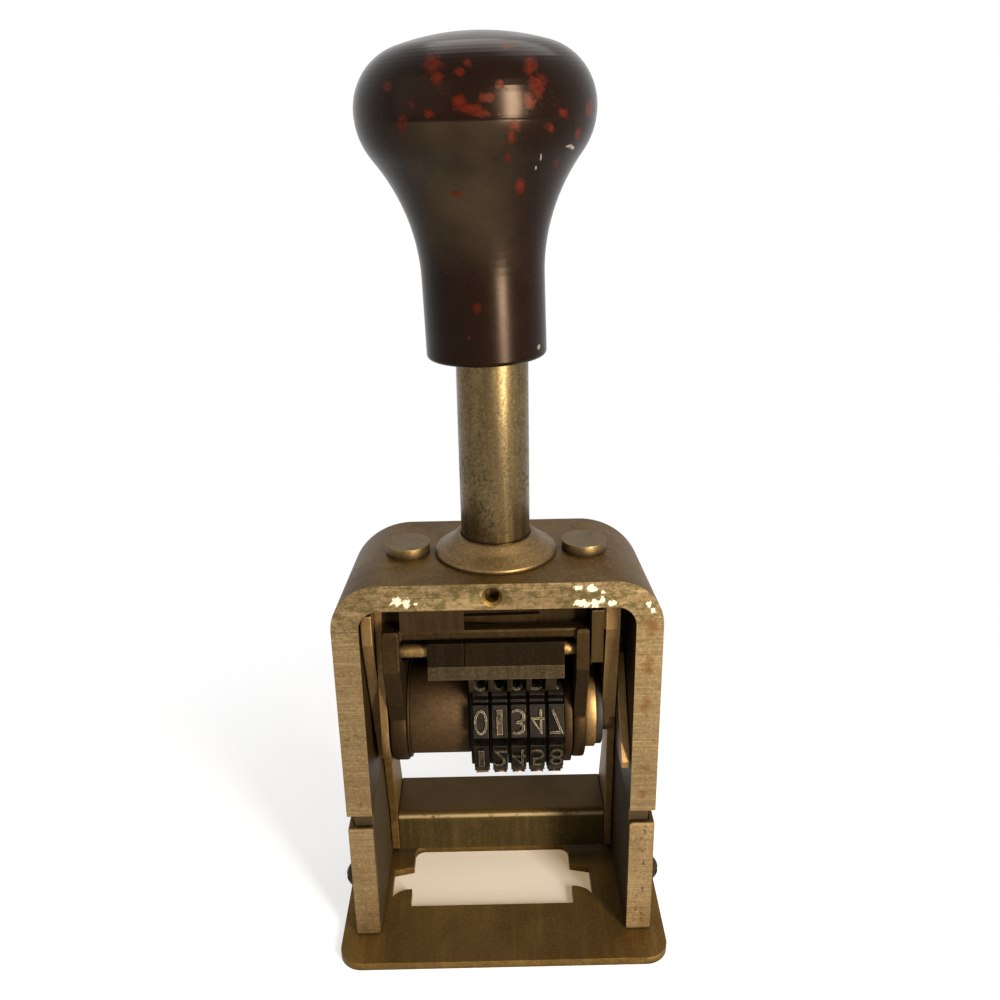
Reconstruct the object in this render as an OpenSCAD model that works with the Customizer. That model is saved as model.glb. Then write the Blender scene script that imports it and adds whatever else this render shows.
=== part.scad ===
// Hand numbering machine: a knob on a hollow stem pushes a carriage of type wheels
// down through an arched frame onto the paper under the base plate.
// +X is the machine's right, +Y its back, +Z up. The origin is at the base's
// underside, in line with the stem. Everything is drawn at rest, with the stem up.

/* [Base plate] */
// Width of the base plate
base_w = 63.5; // [62:0.5:76]
// Depth of the base plate
base_d = 44; // [38:0.5:56]
// Thickness of the base plate
base_t = 1.6; // [1.2:0.1:2.2]
// Radius of the base plate's corners
base_corner_r = 4.5; // [2:0.5:8]
// Print window: how far it reaches left of the stem
window_left = 19; // [18.4:0.1:19.6]
// Print window: how far it reaches right of the stem
window_right = 14.5; // [13.8:0.1:15]
// Print window: how far it reaches in front of the stem
window_front = 7.3; // [6.6:0.1:9]
// Print window: how far it reaches behind the stem
window_rear = 10.4; // [8:0.1:11]
// Radius of the print window's corners
window_corner_r = 2; // [0.5:0.25:3]
// Width of the hooked notch at each side of the print window
notch_w = 4.1; // [2.5:0.1:4.5]
// How far the notches' hooks reach in front of the stem
notch_hook = 5.6; // [4:0.1:6]
// How far the notches reach behind the stem
notch_rear = 4; // [2:0.1:6]

/* [Arch] */
// Outside width of the arch
arch_w = 58; // [57.4:0.1:61]
// Thickness of the arch's legs
arch_wall = 4.8; // [4.4:0.1:5.2]
// Depth of the arch, front to back
arch_d = 29.2; // [28.6:0.1:34]
// Height of the arch's top face
arch_h = 77.7; // [77:0.1:84]
// Thickness of the arch's top
arch_top_t = 4.9; // [4:0.1:5.4]
// Radius of the arch's outer top corners
arch_outer_r = 8.6; // [6:0.2:11]
// Radius of the arch's inner top corners
arch_inner_r = 3.6; // [2:0.2:5]
// Height at which the legs' full section ends
leg_end_z = 30; // [28.5:0.1:34]
// Height of the top of the feet
foot_h = 27.1; // [22:0.1:28]
// Step from a leg's outer, front and back faces to its tongue
tongue_step = 1.2; // [0.8:0.1:1.6]
// Diameter of the threaded hole in the arch's front
gauge_hole_d = 2.5; // [2:0.1:3]
// Depth of the threaded hole in the arch's front
gauge_hole_depth = 3.2; // [2:0.1:3.2]
// Diameter of the countersink at the threaded hole's mouth
gauge_sink_d = 3.7; // [3.2:0.1:4.4]
// Distance of the screws at the arch's top from the stem
top_screw_x = 16.2; // [15.8:0.1:16.6]
// Diameter of the heads of the screws at the arch's top
top_screw_head_d = 8.1; // [6:0.1:8.6]
// Height of the heads of the screws at the arch's top
top_screw_head_h = 1.9; // [1.2:0.1:2.6]
// Diameter of the heads of the screws at the feet's sides
side_screw_head_d = 5.4; // [4:0.1:6.5]
// Height of the heads of the screws at the feet's sides
side_screw_head_h = 2.2; // [1.4:0.1:2.2]
// Height of the screws at the feet's sides
side_screw_z = 11; // [8:0.5:16]
// Distance of the side screws from the stem, to the front and to the back
side_screw_y = 8; // [6:0.5:9]

/* [Stem] */
// Outside diameter of the stem tube
stem_d = 12.5; // [11.8:0.1:13]
// Wall of the stem tube
stem_wall = 1.6; // [1.2:0.1:1.8]
// Height of the top of the stem tube
stem_top_z = 150; // [144:0.5:151]
// Diameter of the collar's flange
collar_d = 22.3; // [20:0.1:23.4]
// Diameter of the collar's bush where it passes through the arch
collar_bush_d = 16; // [15.2:0.1:17]
// Thickness of the collar's rim
collar_rim_t = 0.7; // [0.4:0.1:1.2]
// Height of the collar above the arch
collar_rise = 3.8; // [2.5:0.1:4]
// Diameter of the key screw that keeps the stem from turning
key_d = 3; // [2:0.1:3.4]

/* [Knob] */
// Height of the knob's underside
knob_z = 113.9; // [113.3:0.1:116]
// Diameter of the knob's neck
knob_neck_d = 20.5; // [18:0.1:24]
// Height of the knob's neck, where the flare starts
knob_neck_h = 13.2; // [8:0.1:18]
// Widest diameter of the knob
knob_d = 38.2; // [34:0.1:44]
// Height from the knob's underside to its widest part
knob_wide_h = 39.1; // [38.5:0.1:44]
// Radius of the flare's hollow curve
knob_flare_r = 31; // [27:0.5:34]
// Radius of the knob's shoulder above its widest part
knob_shoulder_r = 9.75; // [9:0.25:12]
// Slope of the knob's top where the crown meets the shoulder, in degrees
knob_crown_angle = 17; // [10:1:30]
// How far the knob's neck sits left of the stem
knob_offset = 0.85; // [0:0.05:1]
// How far the knob leans to the left, in degrees
knob_lean = 1.4; // [0:0.1:1.6]

/* [Type wheels] */
// Height of the wheel axle
axle_z = 44.5; // [43.8:0.1:46]
// Diameter of the wheel axle
axle_d = 5; // [4:0.1:6]
// Distance from the axle's centre to the flat of a type block, below its figure
type_r = 12.4; // [12:0.1:12.6]
// Width of a type block
type_w = 2.8; // [2.6:0.02:2.9]
// Length of a type block round the wheel
type_len = 6.2; // [5.4:0.1:6.6]
// Step from one wheel to the next
wheel_pitch = 3.48; // [3.44:0.01:3.5]
// Right edge of the last wheel's type
last_type_x = 11.9; // [11.7:0.05:12]
// Height of the type blocks above the wheel's rim
type_relief = 1.6; // [1.2:0.1:2]
// Height of the raised figures that the type blocks carry
figure_relief = 0.4; // [0.2:0.1:0.5]
// Depth of the ratchet's teeth
ratchet_depth = 1.5; // [1:0.1:2]
// Diameter of the spacer drum beside the wheels
drum_d = 17.8; // [14:0.1:19]

/* [Carriage] */
// Thickness of the carriage head
head_t = 5.4; // [4:0.1:5.5]
// Front edge of the carriage head, measured forward from the stem
head_front = 9.4; // [8:0.1:9.5]
// Back edge of the carriage head, measured back from the stem
head_rear = 13.2; // [12.8:0.1:13.4]
// Thickness of the carriage's left arm
left_arm_t = 1.4; // [1.2:0.1:1.6]
// Thickness of the cam rib outside the left arm
cam_rib_t = 1.95; // [1.5:0.05:2]
// Thickness of the carriage's right arm
right_arm_t = 2.5; // [2:0.1:2.6]
// Radius of the left arm's round end
left_arm_end_r = 10.5; // [9:0.1:11]
// Radius of the right arm's round end
right_arm_end_r = 5.2; // [4.4:0.1:7]

/* [Feed] */
// Radius of the bail's round hubs
bail_hub_r = 10.1; // [8:0.1:10.6]
// Width of the bail's left arm
bail_left_t = 3.1; // [2.6:0.1:3.1]
// Width of the bail's right arm
bail_right_t = 2.4; // [1.8:0.1:2.4]
// Height of the bail's top bar above the axle
bail_bar_rise = 22.8; // [22.4:0.1:23.4]
// Distance of the bail's top bar in front of the axle
bail_bar_front = 12; // [11.6:0.1:12.4]
// Thickness of the bail's top bar
bail_bar_t = 2; // [1.5:0.1:2.2]
// Height of the pawl rod above the axle
pawl_rise = 19; // [18.8:0.1:19.1]
// Distance of the pawl rod in front of the axle
pawl_front = 11.7; // [11.5:0.1:12]
// Diameter of the pawl rod
pawl_rod_d = 2.4; // [1.8:0.1:2.6]
// Thickness of the comb plate
comb_t = 1.1; // [0.8:0.1:1.4]
// Width of a comb tooth
tooth_w = 0.92; // [0.7:0.02:1]
// Width of the comb's last tooth
last_tooth_w = 1.9; // [1.2:0.1:2.2]

/* [Pad carrier] */
// Height of the carrier's pivots
pivot_z = 58; // [57:0.1:60]
// Distance of the carrier's pivots behind the stem
pivot_y = 11.5; // [11.3:0.1:11.6]
// Diameter of the carrier's pivot screws
pivot_d = 2.4; // [1.8:0.1:2.8]
// Front face of the carrier's channel, measured back from the stem
tray_front = 8.7; // [8.4:0.1:10]
// Back edge of the carrier's channel, measured back from the stem
tray_rear = 21.4; // [18:0.1:23]
// Height of the carrier's channel above the paper
tray_top_z = 11.9; // [8:0.1:13]
// Gap from the paper to the carrier's lower edge
tray_z = 2.6; // [2.4:0.1:4]
// Thickness of the carrier's sheet
tray_t = 1.3; // [0.9:0.1:1.6]
// Radius of the bend along the channel's front edge
tray_bend_r = 1.8; // [1.4:0.1:2.6]
// Thickness of the carrier's arms
carrier_arm_t = 1.6; // [1.2:0.1:1.6]

/* [Clearances] */
// Radial clearance of parts that turn or slide on each other
run_gap = 0.06; // [0.03:0.01:0.1]
// Radial clearance of parts that are fixed to each other
fixed_gap = 0.02; // [0.01:0.01:0.05]
// Side clearance between parts that move past each other
side_gap = 0.2; // [0.1:0.05:0.25]
// Clearance between the type wheels
wheel_gap = 0.06; // [0.04:0.01:0.1]
// Room left under the figures at the end of the stroke
paper_gap = 0.2; // [0.1:0.1:1]

/* [Hidden] */
$fn = 64;
eps = 0.01;
wheel_count = 5;
digit_count = 10;
step_deg = 360 / digit_count;

// Arch and feet
half_w = arch_w / 2;
inner_x = half_w - arch_wall;
half_d = arch_d / 2;
under_arch_z = arch_h - arch_top_t;
arch_split_z = min(arch_h - arch_outer_r, under_arch_z - arch_inner_r);
tongue_x = half_w - tongue_step;
tongue_half_d = half_d - tongue_step;
gauge_hole_x = -0.8;
key_z = arch_h - arch_top_t / 2;
screw_shank_d = 3.2;
side_screw_shank_d = 3;
base_screw_y = 9;
base_screw_head_d = 5.4;
base_screw_len = 7;
base_screw_head_h = base_t * 0.7;
screw_hole_d = screw_shank_d + 2 * fixed_gap;
side_screw_hole_r = side_screw_shank_d / 2 + fixed_gap;
slot_w = 0.9;

// Stem, collar and return spring
stem_r = stem_d / 2;
bore_r = stem_r - stem_wall;
head_gap = 0.1;
washer_t = 1.5;
head_top_z = under_arch_z - washer_t - head_gap;
head_z = head_top_z - head_t;
head_mid_z = head_z + head_t / 2;
flange_t = washer_t - 0.1;
plug_t = 3;
seat_t = 1.5;
seat_z = key_z + key_d / 2 + fixed_gap;
spring_wire_d = 1;
spring_turns = 17;
spring_od = 2 * bore_r - 0.6;
key_reach = 3.5;
slot_r = key_d / 2 + 0.1;
pin_r = 1;
pin_reach = stem_r + 2.5;
knob_edge_r = 0.7;

// Return spring: closed ends drawn as a low first and last turn
spring_r = (spring_od - spring_wire_d) / 2;
spring_z0 = seat_z + seat_t + spring_wire_d / 2 + fixed_gap;
spring_z1 = stem_top_z - plug_t - spring_wire_d / 2 - fixed_gap;
end_turn_pitch = 1.5;
spring_steps = 8;
spring_sides = 6;

// Wheels and stroke
stroke = axle_z - type_r - figure_relief - paper_gap;
core_r = type_r - type_relief;
ratchet_r = core_r + 0.4;
ratchet_w = wheel_pitch - wheel_gap - type_w;
type_corner_r = norm([type_r + figure_relief, type_len / 2]);
wheel_bore_r = axle_d / 2 + run_gap;
first_type_x = last_type_x - type_w - (wheel_count - 1) * wheel_pitch;

// Lanes along the axle, inward from the arch's left leg; the drum fills the rest
cam_rib_x0 = side_gap - inner_x;
left_arm_x0 = cam_rib_x0 + cam_rib_t;
left_arm_x1 = left_arm_x0 + left_arm_t;
bail_left_x0 = left_arm_x1 + side_gap;
bail_left_x1 = bail_left_x0 + bail_left_t;
left_washer_t = 0.4;
drum_x0 = bail_left_x1 + run_gap + left_washer_t;
drum_x1 = first_type_x - ratchet_w - side_gap;

// Lanes along the axle, outward from the wheels to the right
side_disc_t = 1.5;
side_disc_r = 10.9;
side_disc_x0 = last_type_x + side_gap;
bail_right_x0 = side_disc_x0 + side_disc_t + side_gap;
bail_right_x1 = bail_right_x0 + bail_right_t;
crank_t = 2.1;
crank_r = 8.3;
crank_x0 = bail_right_x1;
crank_x1 = crank_x0 + crank_t;
right_arm_x1 = inner_x - carrier_arm_t - 2 * side_gap - 0.1;
right_arm_x0 = right_arm_x1 - right_arm_t;

// Sheet behind the carriage
back_plate_t = 0.8;
back_plate_side = 1.4;
back_plate_low = 0.5;
back_plate_notch = 6.5;

// Screws through the carriage's arms into its head
arm_screw_ys = [-5, 9.5];
arm_screw_r = 1;
arm_screw_grip = 3;
end_sink = 0.1;

// Feed: bail, pawl and comb
bail_deg = 36;
bail_y = -bail_bar_front;
bail_z = axle_z + bail_bar_rise;
bail_arm_w = 4.2;
bail_bar_w = 2.6;
pawl_y = -pawl_front;
pawl_z = axle_z + pawl_rise;
pawl_block_front = 2.1;
pawl_block_rear = 1.9;
pawl_block_down = 2.3;
pawl_block_up = 2.35;
pawl_x1 = last_type_x - 0.1;
pawl_x0 = drum_x1 - 0.3;
sleeve_len = 6.6;
sleeve_x0 = pawl_x0 - sleeve_len;
comb_drop = 2.7;
comb_y = pawl_y - pawl_block_front;
comb_z = pawl_z - pawl_block_down;
tooth_tip_r = type_corner_r + 0.3;
tip_r = ratchet_r + 0.3;
tooth_angle = 136;
horn_w = 3;

// Stop lug, bracket and leaf spring under the arch
lug_x0 = crank_x0 + 0.25;
lug_x1 = lug_x0 + 2.1;
lug_rise = 17.2;
lug_z = axle_z + lug_rise;
lug_front = half_d - 0.4;
lug_t = 3.4;
lug_toe_t = 3.2;
lug_toe_rear = 3.4;
flange_margin = 2.6;
flange_setback = 2.7;
flange_front = half_d - flange_setback;
flange_rear = 3.8;
bracket_reach = 5.2;
bracket_x0 = -17;
bracket_x1 = -5.8;
bracket_t = 0.9;
bracket_z = bail_z + bail_bar_t / 2 + 0.3;
leaf_w = 1.1;
leaf_x0 = -7.2;
leaf_tip_x = 6.4;
leaf_x1 = 7.6;
leaf_left_t = 0.9;
leaf_right_t = 2.4;
leaf_left_rise = 1.3;

// Detent at the back of the wheels
detent_y = 11;
detent_rise = 14;
detent_z = axle_z + detent_rise;
detent_rod_d = 2.2;
detent_boss_r = 2;
detent_sleeve_r = 1.9;
detent_angle = 48;

// Pad carrier
carrier_deg = 12;
carrier_arm_x1 = inner_x - side_gap;
carrier_arm_x0 = carrier_arm_x1 - carrier_arm_t;
pivot_boss_r = 2.8;
pivot_slot_w = 0.6;
pivot_slot_depth = 0.6;
cam_toe_z = 34;
cam_toe_y = 3;
cam_slope = 0.16;
cam_gap = 0.4;
cam_top_z = 65.5;
cam_toe_front = 2.2;
cam_top_front = 13.2;
nose_half_h = 0.8;
arm_front = pivot_y - 2.1;
arm_rear = pivot_y + 2.7;
finger_tip_y = half_d - 0.8;
finger_tip_z = 39;
finger_w = 3.4;

// ---- Helpers ----

// Extrudes a (Y, Z) outline along X, from x0 to x1
module along_x(x0, x1) {
    translate([x0, 0, 0]) rotate([90, 0, 90]) linear_extrude(x1 - x0) children();
}

// A round bar along X at (y, z)
module bar_x(x0, x1, y, z, r) {
    translate([x0, y, z]) rotate([0, 90, 0]) cylinder(h = x1 - x0, r = r);
}

// A round bar along Y at (x, z)
module bar_y(y0, y1, x, z, r) {
    translate([x, y1, z]) rotate([90, 0, 0]) cylinder(h = y1 - y0, r = r);
}

// A box given by its two corners
module block(a, b) {
    translate(a) cube(b - a);
}

// A flat rectangle with round corners, from a to b
module round_rect(a, b, r) {
    translate(a + [r, 0]) square([b.x - a.x - 2 * r, b.y - a.y]);
    translate(a + [0, r]) square([b.x - a.x, b.y - a.y - 2 * r]);
    for (x = [a.x + r, b.x - r], y = [a.y + r, b.y - r]) translate([x, y]) circle(r);
}

// Points of an arc from angle a0 to a1
function arc(c, r, a0, a1, n = 12) =
    [for (i = [0:n]) c + r * [cos(a0 + (a1 - a0) * i / n), sin(a0 + (a1 - a0) * i / n)]];

// Where a comb's finger runs beside wheel i, over its ratchet
function ratchet_lane(i) =
    let (x = first_type_x + i * wheel_pitch) [x - ratchet_w + wheel_gap, x - wheel_gap];

// Rear edge of the left cam rib at height z
function cam_y(z) = cam_toe_y + cam_slope * (z - cam_toe_z);

// ---- Frame ----

module base_plate() {
    half = [base_w / 2, base_d / 2];
    color("#6f6046") difference() {
        linear_extrude(base_t) difference() {
            round_rect(-half, half, base_corner_r);
            round_rect([-window_left, -window_front], [window_right, window_rear], window_corner_r);
            for (x = [-window_left, window_right - window_corner_r])
                translate([x, -window_front]) square(window_corner_r);
            window_notch(-window_left, -1);
            window_notch(window_right, 1);
        }
        for (x = [-1, 1], y = [-1, 1]) {
            translate([x * base_screw_x(), y * base_screw_y, 0]) {
                translate([0, 0, -eps]) cylinder(h = base_t + 2 * eps, d = screw_hole_d);
                translate([0, 0, -eps])
                    cylinder(h = base_screw_head_h + eps, d = base_screw_head_d + 2 * fixed_gap);
            }
        }
    }
}

// A side notch whose front edge curves forward to a hook; side is -1 or 1
module window_notch(x, side) {
    hook_w = notch_w;
    start = -window_front / 3;
    outline = concat(
        [[-eps, start], [-eps, notch_rear], [hook_w, notch_rear * 0.75]],
        [[hook_w, -notch_hook]],
        [for (i = [1:6]) [hook_w * cos(15 * i), -notch_hook + (notch_hook + start) * sin(15 * i)]]
    );
    translate([x, 0]) scale([side, 1]) polygon(outline);
}

function base_screw_x() = (inner_x + tongue_x) / 2;

// One foot: a block with a pocket, open to the inside, for the leg's tongue
module foot(side) {
    color("#9b8763") mirror([side < 0 ? 1 : 0, 0, 0]) difference() {
        block([inner_x, -half_d, base_t], [half_w, half_d, foot_h]);
        block([inner_x - eps, -tongue_half_d - fixed_gap, base_t - eps],
              [tongue_x + fixed_gap, tongue_half_d + fixed_gap, foot_h + eps]);
        for (y = [-1, 1])
            bar_x(tongue_x, half_w + eps, y * side_screw_y, side_screw_z, side_screw_hole_r);
    }
}

module left_foot() { foot(-1); }
module right_foot() { foot(1); }

module base_screws() {
    color("#6b5c44") for (x = [-1, 1], y = [-1, 1])
        translate([x * base_screw_x(), y * base_screw_y, 0]) {
            cylinder(h = base_screw_head_h, d = base_screw_head_d);
            cylinder(h = base_screw_len, d = screw_shank_d);
        }
}

module side_screws() {
    color("#4d4436") for (side = [-1, 1], y = [-1, 1])
        mirror([side < 0 ? 1 : 0, 0, 0]) translate([half_w, y * side_screw_y, side_screw_z]) {
            difference() {
                dome(side_screw_head_d / 2, side_screw_head_h);
                block([side_screw_head_h - 0.8, -side_screw_head_d, -slot_w / 2],
                      [side_screw_head_h + 1, side_screw_head_d, slot_w / 2]);
            }
            bar_x(-arch_wall + 0.6, 0, 0, 0, side_screw_shank_d / 2);
        }
}

// A low dome along +X
module dome(r, h) {
    sphere_r = (r * r + h * h) / (2 * h);
    rise = asin(r / sphere_r);
    rotate([0, 90, 0]) rotate_extrude()
        polygon(concat([[0, 0]], arc([0, h - sphere_r], sphere_r, 90 - rise, 90, 8)));
}

// The arch is one piece of metal. Its top and its two straight legs are nodes that
// meet face to face at arch_split_z, so that the space inside it stays simple.
module arch_top() {
    color("#a28d66") difference() {
        translate([0, half_d, 0]) rotate([90, 0, 0]) linear_extrude(arch_d) arch_top_outline();
        translate([0, 0, under_arch_z - eps])
            cylinder(h = arch_top_t + 2 * eps, r = collar_bush_d / 2 + fixed_gap);
        for (x = [-1, 1]) translate([x * top_screw_x, 0, under_arch_z - eps])
            cylinder(h = arch_top_t + 2 * eps, d = screw_hole_d);
        bar_y(-half_d - eps, -half_d + gauge_hole_depth, gauge_hole_x, key_z, gauge_hole_d / 2);
        translate([gauge_hole_x, -half_d - eps, key_z]) rotate([-90, 0, 0])
            cylinder(h = 0.5, d1 = gauge_sink_d, d2 = gauge_hole_d);
        bar_y(0, half_d + eps, 0, key_z, key_d / 2 + fixed_gap);
    }
}

// Outline of the arch's top, down to where its legs are straight
module arch_top_outline() {
    below = arch_outer_r + arch_inner_r;
    difference() {
        round_rect([-half_w, arch_split_z - below], [half_w, arch_h], arch_outer_r);
        round_rect([-inner_x, arch_split_z - below - 1], [inner_x, under_arch_z], arch_inner_r);
        translate([-half_w - 1, arch_split_z - 2 * below]) square([arch_w + 2, 2 * below]);
    }
}

// One leg: a straight bar with a thinner tongue that stands in the foot's pocket
module leg(side) {
    color("#a28d66") mirror([side < 0 ? 1 : 0, 0, 0]) difference() {
        union() {
            block([inner_x, -half_d, leg_end_z], [half_w, half_d, arch_split_z]);
            block([inner_x, -tongue_half_d, base_t], [tongue_x, tongue_half_d, leg_end_z + eps]);
        }
        for (y = [-1, 1]) {
            translate([base_screw_x(), y * base_screw_y, base_t - eps])
                cylinder(h = base_screw_len, d = screw_hole_d);
            bar_x(inner_x + 0.4, half_w, y * side_screw_y, side_screw_z, side_screw_hole_r);
        }
        bar_x(inner_x - eps, half_w + eps, pivot_y, pivot_z, pivot_d / 2 + fixed_gap);
    }
}

module left_leg() { leg(-1); }
module right_leg() { leg(1); }

// The stem's guide bush, with a dished flange on top of the arch
module collar() {
    stem_hole_r = stem_r + run_gap;
    neck_r = stem_hole_r + 0.8;
    rim_z = arch_h + collar_rim_t;
    top_z = arch_h + collar_rise;
    color("#8a7550") difference() {
        rotate_extrude() polygon(concat(
            [[stem_hole_r, under_arch_z], [collar_bush_d / 2, under_arch_z], [collar_bush_d / 2, arch_h]],
            [[collar_d / 2, arch_h], [collar_d / 2, rim_z]],
            [[collar_d / 2 - 0.8, rim_z + 0.5], [neck_r + 1.4, top_z - 1.4], [neck_r + 0.3, top_z - 0.3]],
            [[neck_r, top_z], [stem_hole_r, top_z]]
        ));
        bar_y(0, collar_bush_d, 0, key_z, key_d / 2 + fixed_gap);
    }
}

module bumper_washer() {
    color("#5b4632") translate([0, 0, under_arch_z - washer_t]) difference() {
        cylinder(h = washer_t, d = collar_bush_d + 3);
        translate([0, 0, -eps]) cylinder(h = washer_t + 2 * eps, r = stem_r + 0.4);
    }
}

// A plain round-headed stud down through the arch's top; side is -1 or 1
module top_screw(side) {
    color("#6d5d43") translate([side * top_screw_x, 0, arch_h]) {
        cylinder(h = top_screw_head_h, d = top_screw_head_d);
        translate([0, 0, -arch_top_t - flange_t])
            cylinder(h = arch_top_t + flange_t, d = screw_shank_d);
    }
}

module left_top_screw() { top_screw(-1); }
module right_top_screw() { top_screw(1); }

// Flange that a top screw clamps under the arch
module clamp_flange(x0, x1, side) {
    difference() {
        block([x0, -flange_front, under_arch_z - flange_t], [x1, flange_rear, under_arch_z]);
        translate([side * top_screw_x, 0, under_arch_z - flange_t - eps])
            cylinder(h = flange_t + 2 * eps, d = screw_hole_d);
    }
}

// The fixed lug that stops the bail's horn at the top of the stroke
module stop_lug() {
    color("#9a875f") {
        clamp_flange(top_screw_x - flange_margin, lug_x1 + flange_margin / 2, 1);
        along_x(lug_x0, lug_x1) {
            translate([-lug_front, lug_z]) square([lug_t, under_arch_z - flange_t / 2 - lug_z]);
            translate([-lug_front, lug_z]) square([lug_front + lug_toe_rear, lug_toe_t]);
        }
    }
}

// A clamped flange that carries a guard plate in front of the head
module left_bracket() {
    flange_x1 = -top_screw_x + bracket_reach;
    flange_z = under_arch_z - flange_t;
    color("#8b7852") {
        clamp_flange(-top_screw_x - flange_margin, flange_x1, -1);
        block([bracket_x0, -lug_front + eps, flange_z], [flange_x1, eps - flange_front, under_arch_z]);
        block([bracket_x0, -lug_front, bracket_z],
              [bracket_x1, -lug_front + bracket_t, under_arch_z - eps]);
    }
}

module key_screw() {
    color("#5a4d3a") difference() {
        bar_y(-key_reach, half_d, 0, key_z, key_d / 2);
        block([-slot_w / 2, half_d - 0.8, key_z - key_d], [slot_w / 2, half_d + 1, key_z + key_d]);
    }
}

module spring_seat() {
    color("#6a5b45") translate([0, 0, seat_z]) cylinder(h = seat_t, r = bore_r - 0.15);
}

// Height of the spring's centre line after t turns
function spring_height(t) =
    let (mid = spring_turns - 2, rise = spring_z1 - spring_z0 - 2 * end_turn_pitch)
    t < 1 ? spring_z0 + end_turn_pitch * t
    : t > spring_turns - 1 ? spring_z1 - end_turn_pitch * (spring_turns - t)
    : spring_z0 + end_turn_pitch + rise * (t - 1) / mid;
spring_path = [for (i = [0:spring_turns * spring_steps])
    let (t = i / spring_steps) [spring_r * cos(360 * t), spring_r * sin(360 * t), spring_height(t)]];
echo(return_spring_least_gap = end_turn_pitch - spring_wire_d);

// One unbroken tube of n sides along a coil's path about the Z axis
module coil_tube(path, r, n) {
    count = len(path);
    rings = [for (p = path) let (a = atan2(p.y, p.x))
        for (k = [0:n - 1]) p + r * cos(360 * k / n) * [cos(a), sin(a), 0] + [0, 0, r * sin(360 * k / n)]];
    sides = [for (i = [0:count - 2], k = [0:n - 1])
        let (a = i * n + k, b = i * n + (k + 1) % n, c = a + n, d = b + n)
        for (f = [[a, b, c], [b, d, c]]) f];
    caps = [[for (k = [n - 1:-1:0]) k], [for (k = [0:n - 1]) (count - 1) * n + k]];
    polyhedron(rings, concat(sides, caps));
}

module return_spring() {
    color("#555049") coil_tube(spring_path, spring_wire_d / 2, spring_sides);
}

// ---- Stem, knob and carriage ----

// Outline of the knob: neck, hollow flare, round shoulder and low crown
function knob_outline() =
    let (neck_r = knob_neck_d / 2,
         wide_r = knob_d / 2,
         flare_z = knob_z + knob_neck_h,
         wide_z = knob_z + knob_wide_h,
         turn = 2 * atan2(wide_r - neck_r, wide_z - flare_z),
         bulge_r = (wide_z - flare_z) / sin(turn) - knob_flare_r,
         end_a = 90 - knob_crown_angle,
         shoulder = [wide_r - knob_shoulder_r, wide_z],
         crown_from = shoulder + knob_shoulder_r * [cos(end_a), sin(end_a)],
         crown_r = crown_from.x / sin(knob_crown_angle))
    concat(
        [[0, knob_z]],
        arc([neck_r - knob_edge_r, knob_z + knob_edge_r], knob_edge_r, -90, 0, 4),
        arc([neck_r + knob_flare_r, flare_z], knob_flare_r, 180, 180 - turn, 16),
        arc([wide_r - bulge_r, wide_z], bulge_r, -turn, 0, 12),
        arc(shoulder, knob_shoulder_r, 0, end_a, 14),
        arc([0, crown_from.y - crown_r * cos(knob_crown_angle)], crown_r, end_a, 90, 8)
    );

// The knob's turned form leans a little on the stem, and its bore stays in line
module knob() {
    lift = knob_neck_d / 2 * sin(knob_lean);
    color("#2a1b16") difference() {
        translate([-knob_offset, 0, knob_z + lift]) rotate([0, -knob_lean, 0])
            translate([0, 0, -knob_z]) rotate_extrude($fn = 96) polygon(knob_outline());
        translate([0, 0, knob_z - eps])
            cylinder(h = stem_top_z - knob_z + 0.1, r = stem_r + fixed_gap);
    }
}

module stem_tube() {
    color("#a89468") difference() {
        translate([0, 0, head_z]) cylinder(h = stem_top_z - head_z, r = stem_r);
        translate([0, 0, head_z - eps]) cylinder(h = stem_top_z - head_z + 2 * eps, r = bore_r);
        for (z = [key_z, key_z + stroke]) bar_y(0, stem_d, 0, z, slot_r);
        block([-slot_r, 0, key_z], [slot_r, stem_d, key_z + stroke]);
        bar_x(-stem_d, stem_d, 0, head_mid_z, pin_r + fixed_gap);
    }
}

module stem_plug() {
    color("#6a5b45") translate([0, 0, stem_top_z - plug_t]) cylinder(h = plug_t, r = bore_r - fixed_gap);
}

module stem_pin() {
    color("#6a5b45") bar_x(-pin_reach, pin_reach, 0, head_mid_z, pin_r);
}

module carriage_head() {
    notch_gap = 2 * side_gap;
    screw_hole_r = arm_screw_r + fixed_gap;
    color("#7c6a49") difference() {
        block([left_arm_x1, -head_front, head_z], [right_arm_x0, head_rear, head_top_z]);
        translate([0, 0, head_z - eps]) cylinder(h = head_t + 2 * eps, r = stem_r + fixed_gap);
        block([lug_x0 - notch_gap, -head_front - eps, head_z - eps],
              [min(lug_x1 + notch_gap, right_arm_x0 + eps), lug_toe_rear + notch_gap, head_top_z + eps]);
        bar_x(-pin_reach - eps, pin_reach + eps, 0, head_mid_z, pin_r + fixed_gap);
        for (y = arm_screw_ys)
            bar_x(left_arm_x1 - eps, left_arm_x1 + arm_screw_grip, y, head_mid_z, screw_hole_r);
        bar_x(right_arm_x0 - arm_screw_grip, right_arm_x0 + eps, arm_screw_ys[1], head_mid_z, screw_hole_r);
    }
}

module left_arm() {
    color("#8c7a55") along_x(left_arm_x0, left_arm_x1) difference() {
        union() {
            arm_2d(left_arm_end_r);
            translate([detent_y, detent_z]) circle(detent_boss_r);
        }
        arm_holes_2d();
        translate([arm_screw_ys[0], head_mid_z]) circle(arm_screw_r + fixed_gap);
    }
}

// Outline of an arm: square at the head, with a round end of radius r at the axle
module arm_2d(r) {
    translate([-head_front, head_z]) square([head_front + head_rear, head_t]);
    polygon([[-head_front, head_z + 1], [-r, axle_z], [r, axle_z], [head_rear, head_z + 1]]);
    translate([0, axle_z]) circle(r);
}

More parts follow.
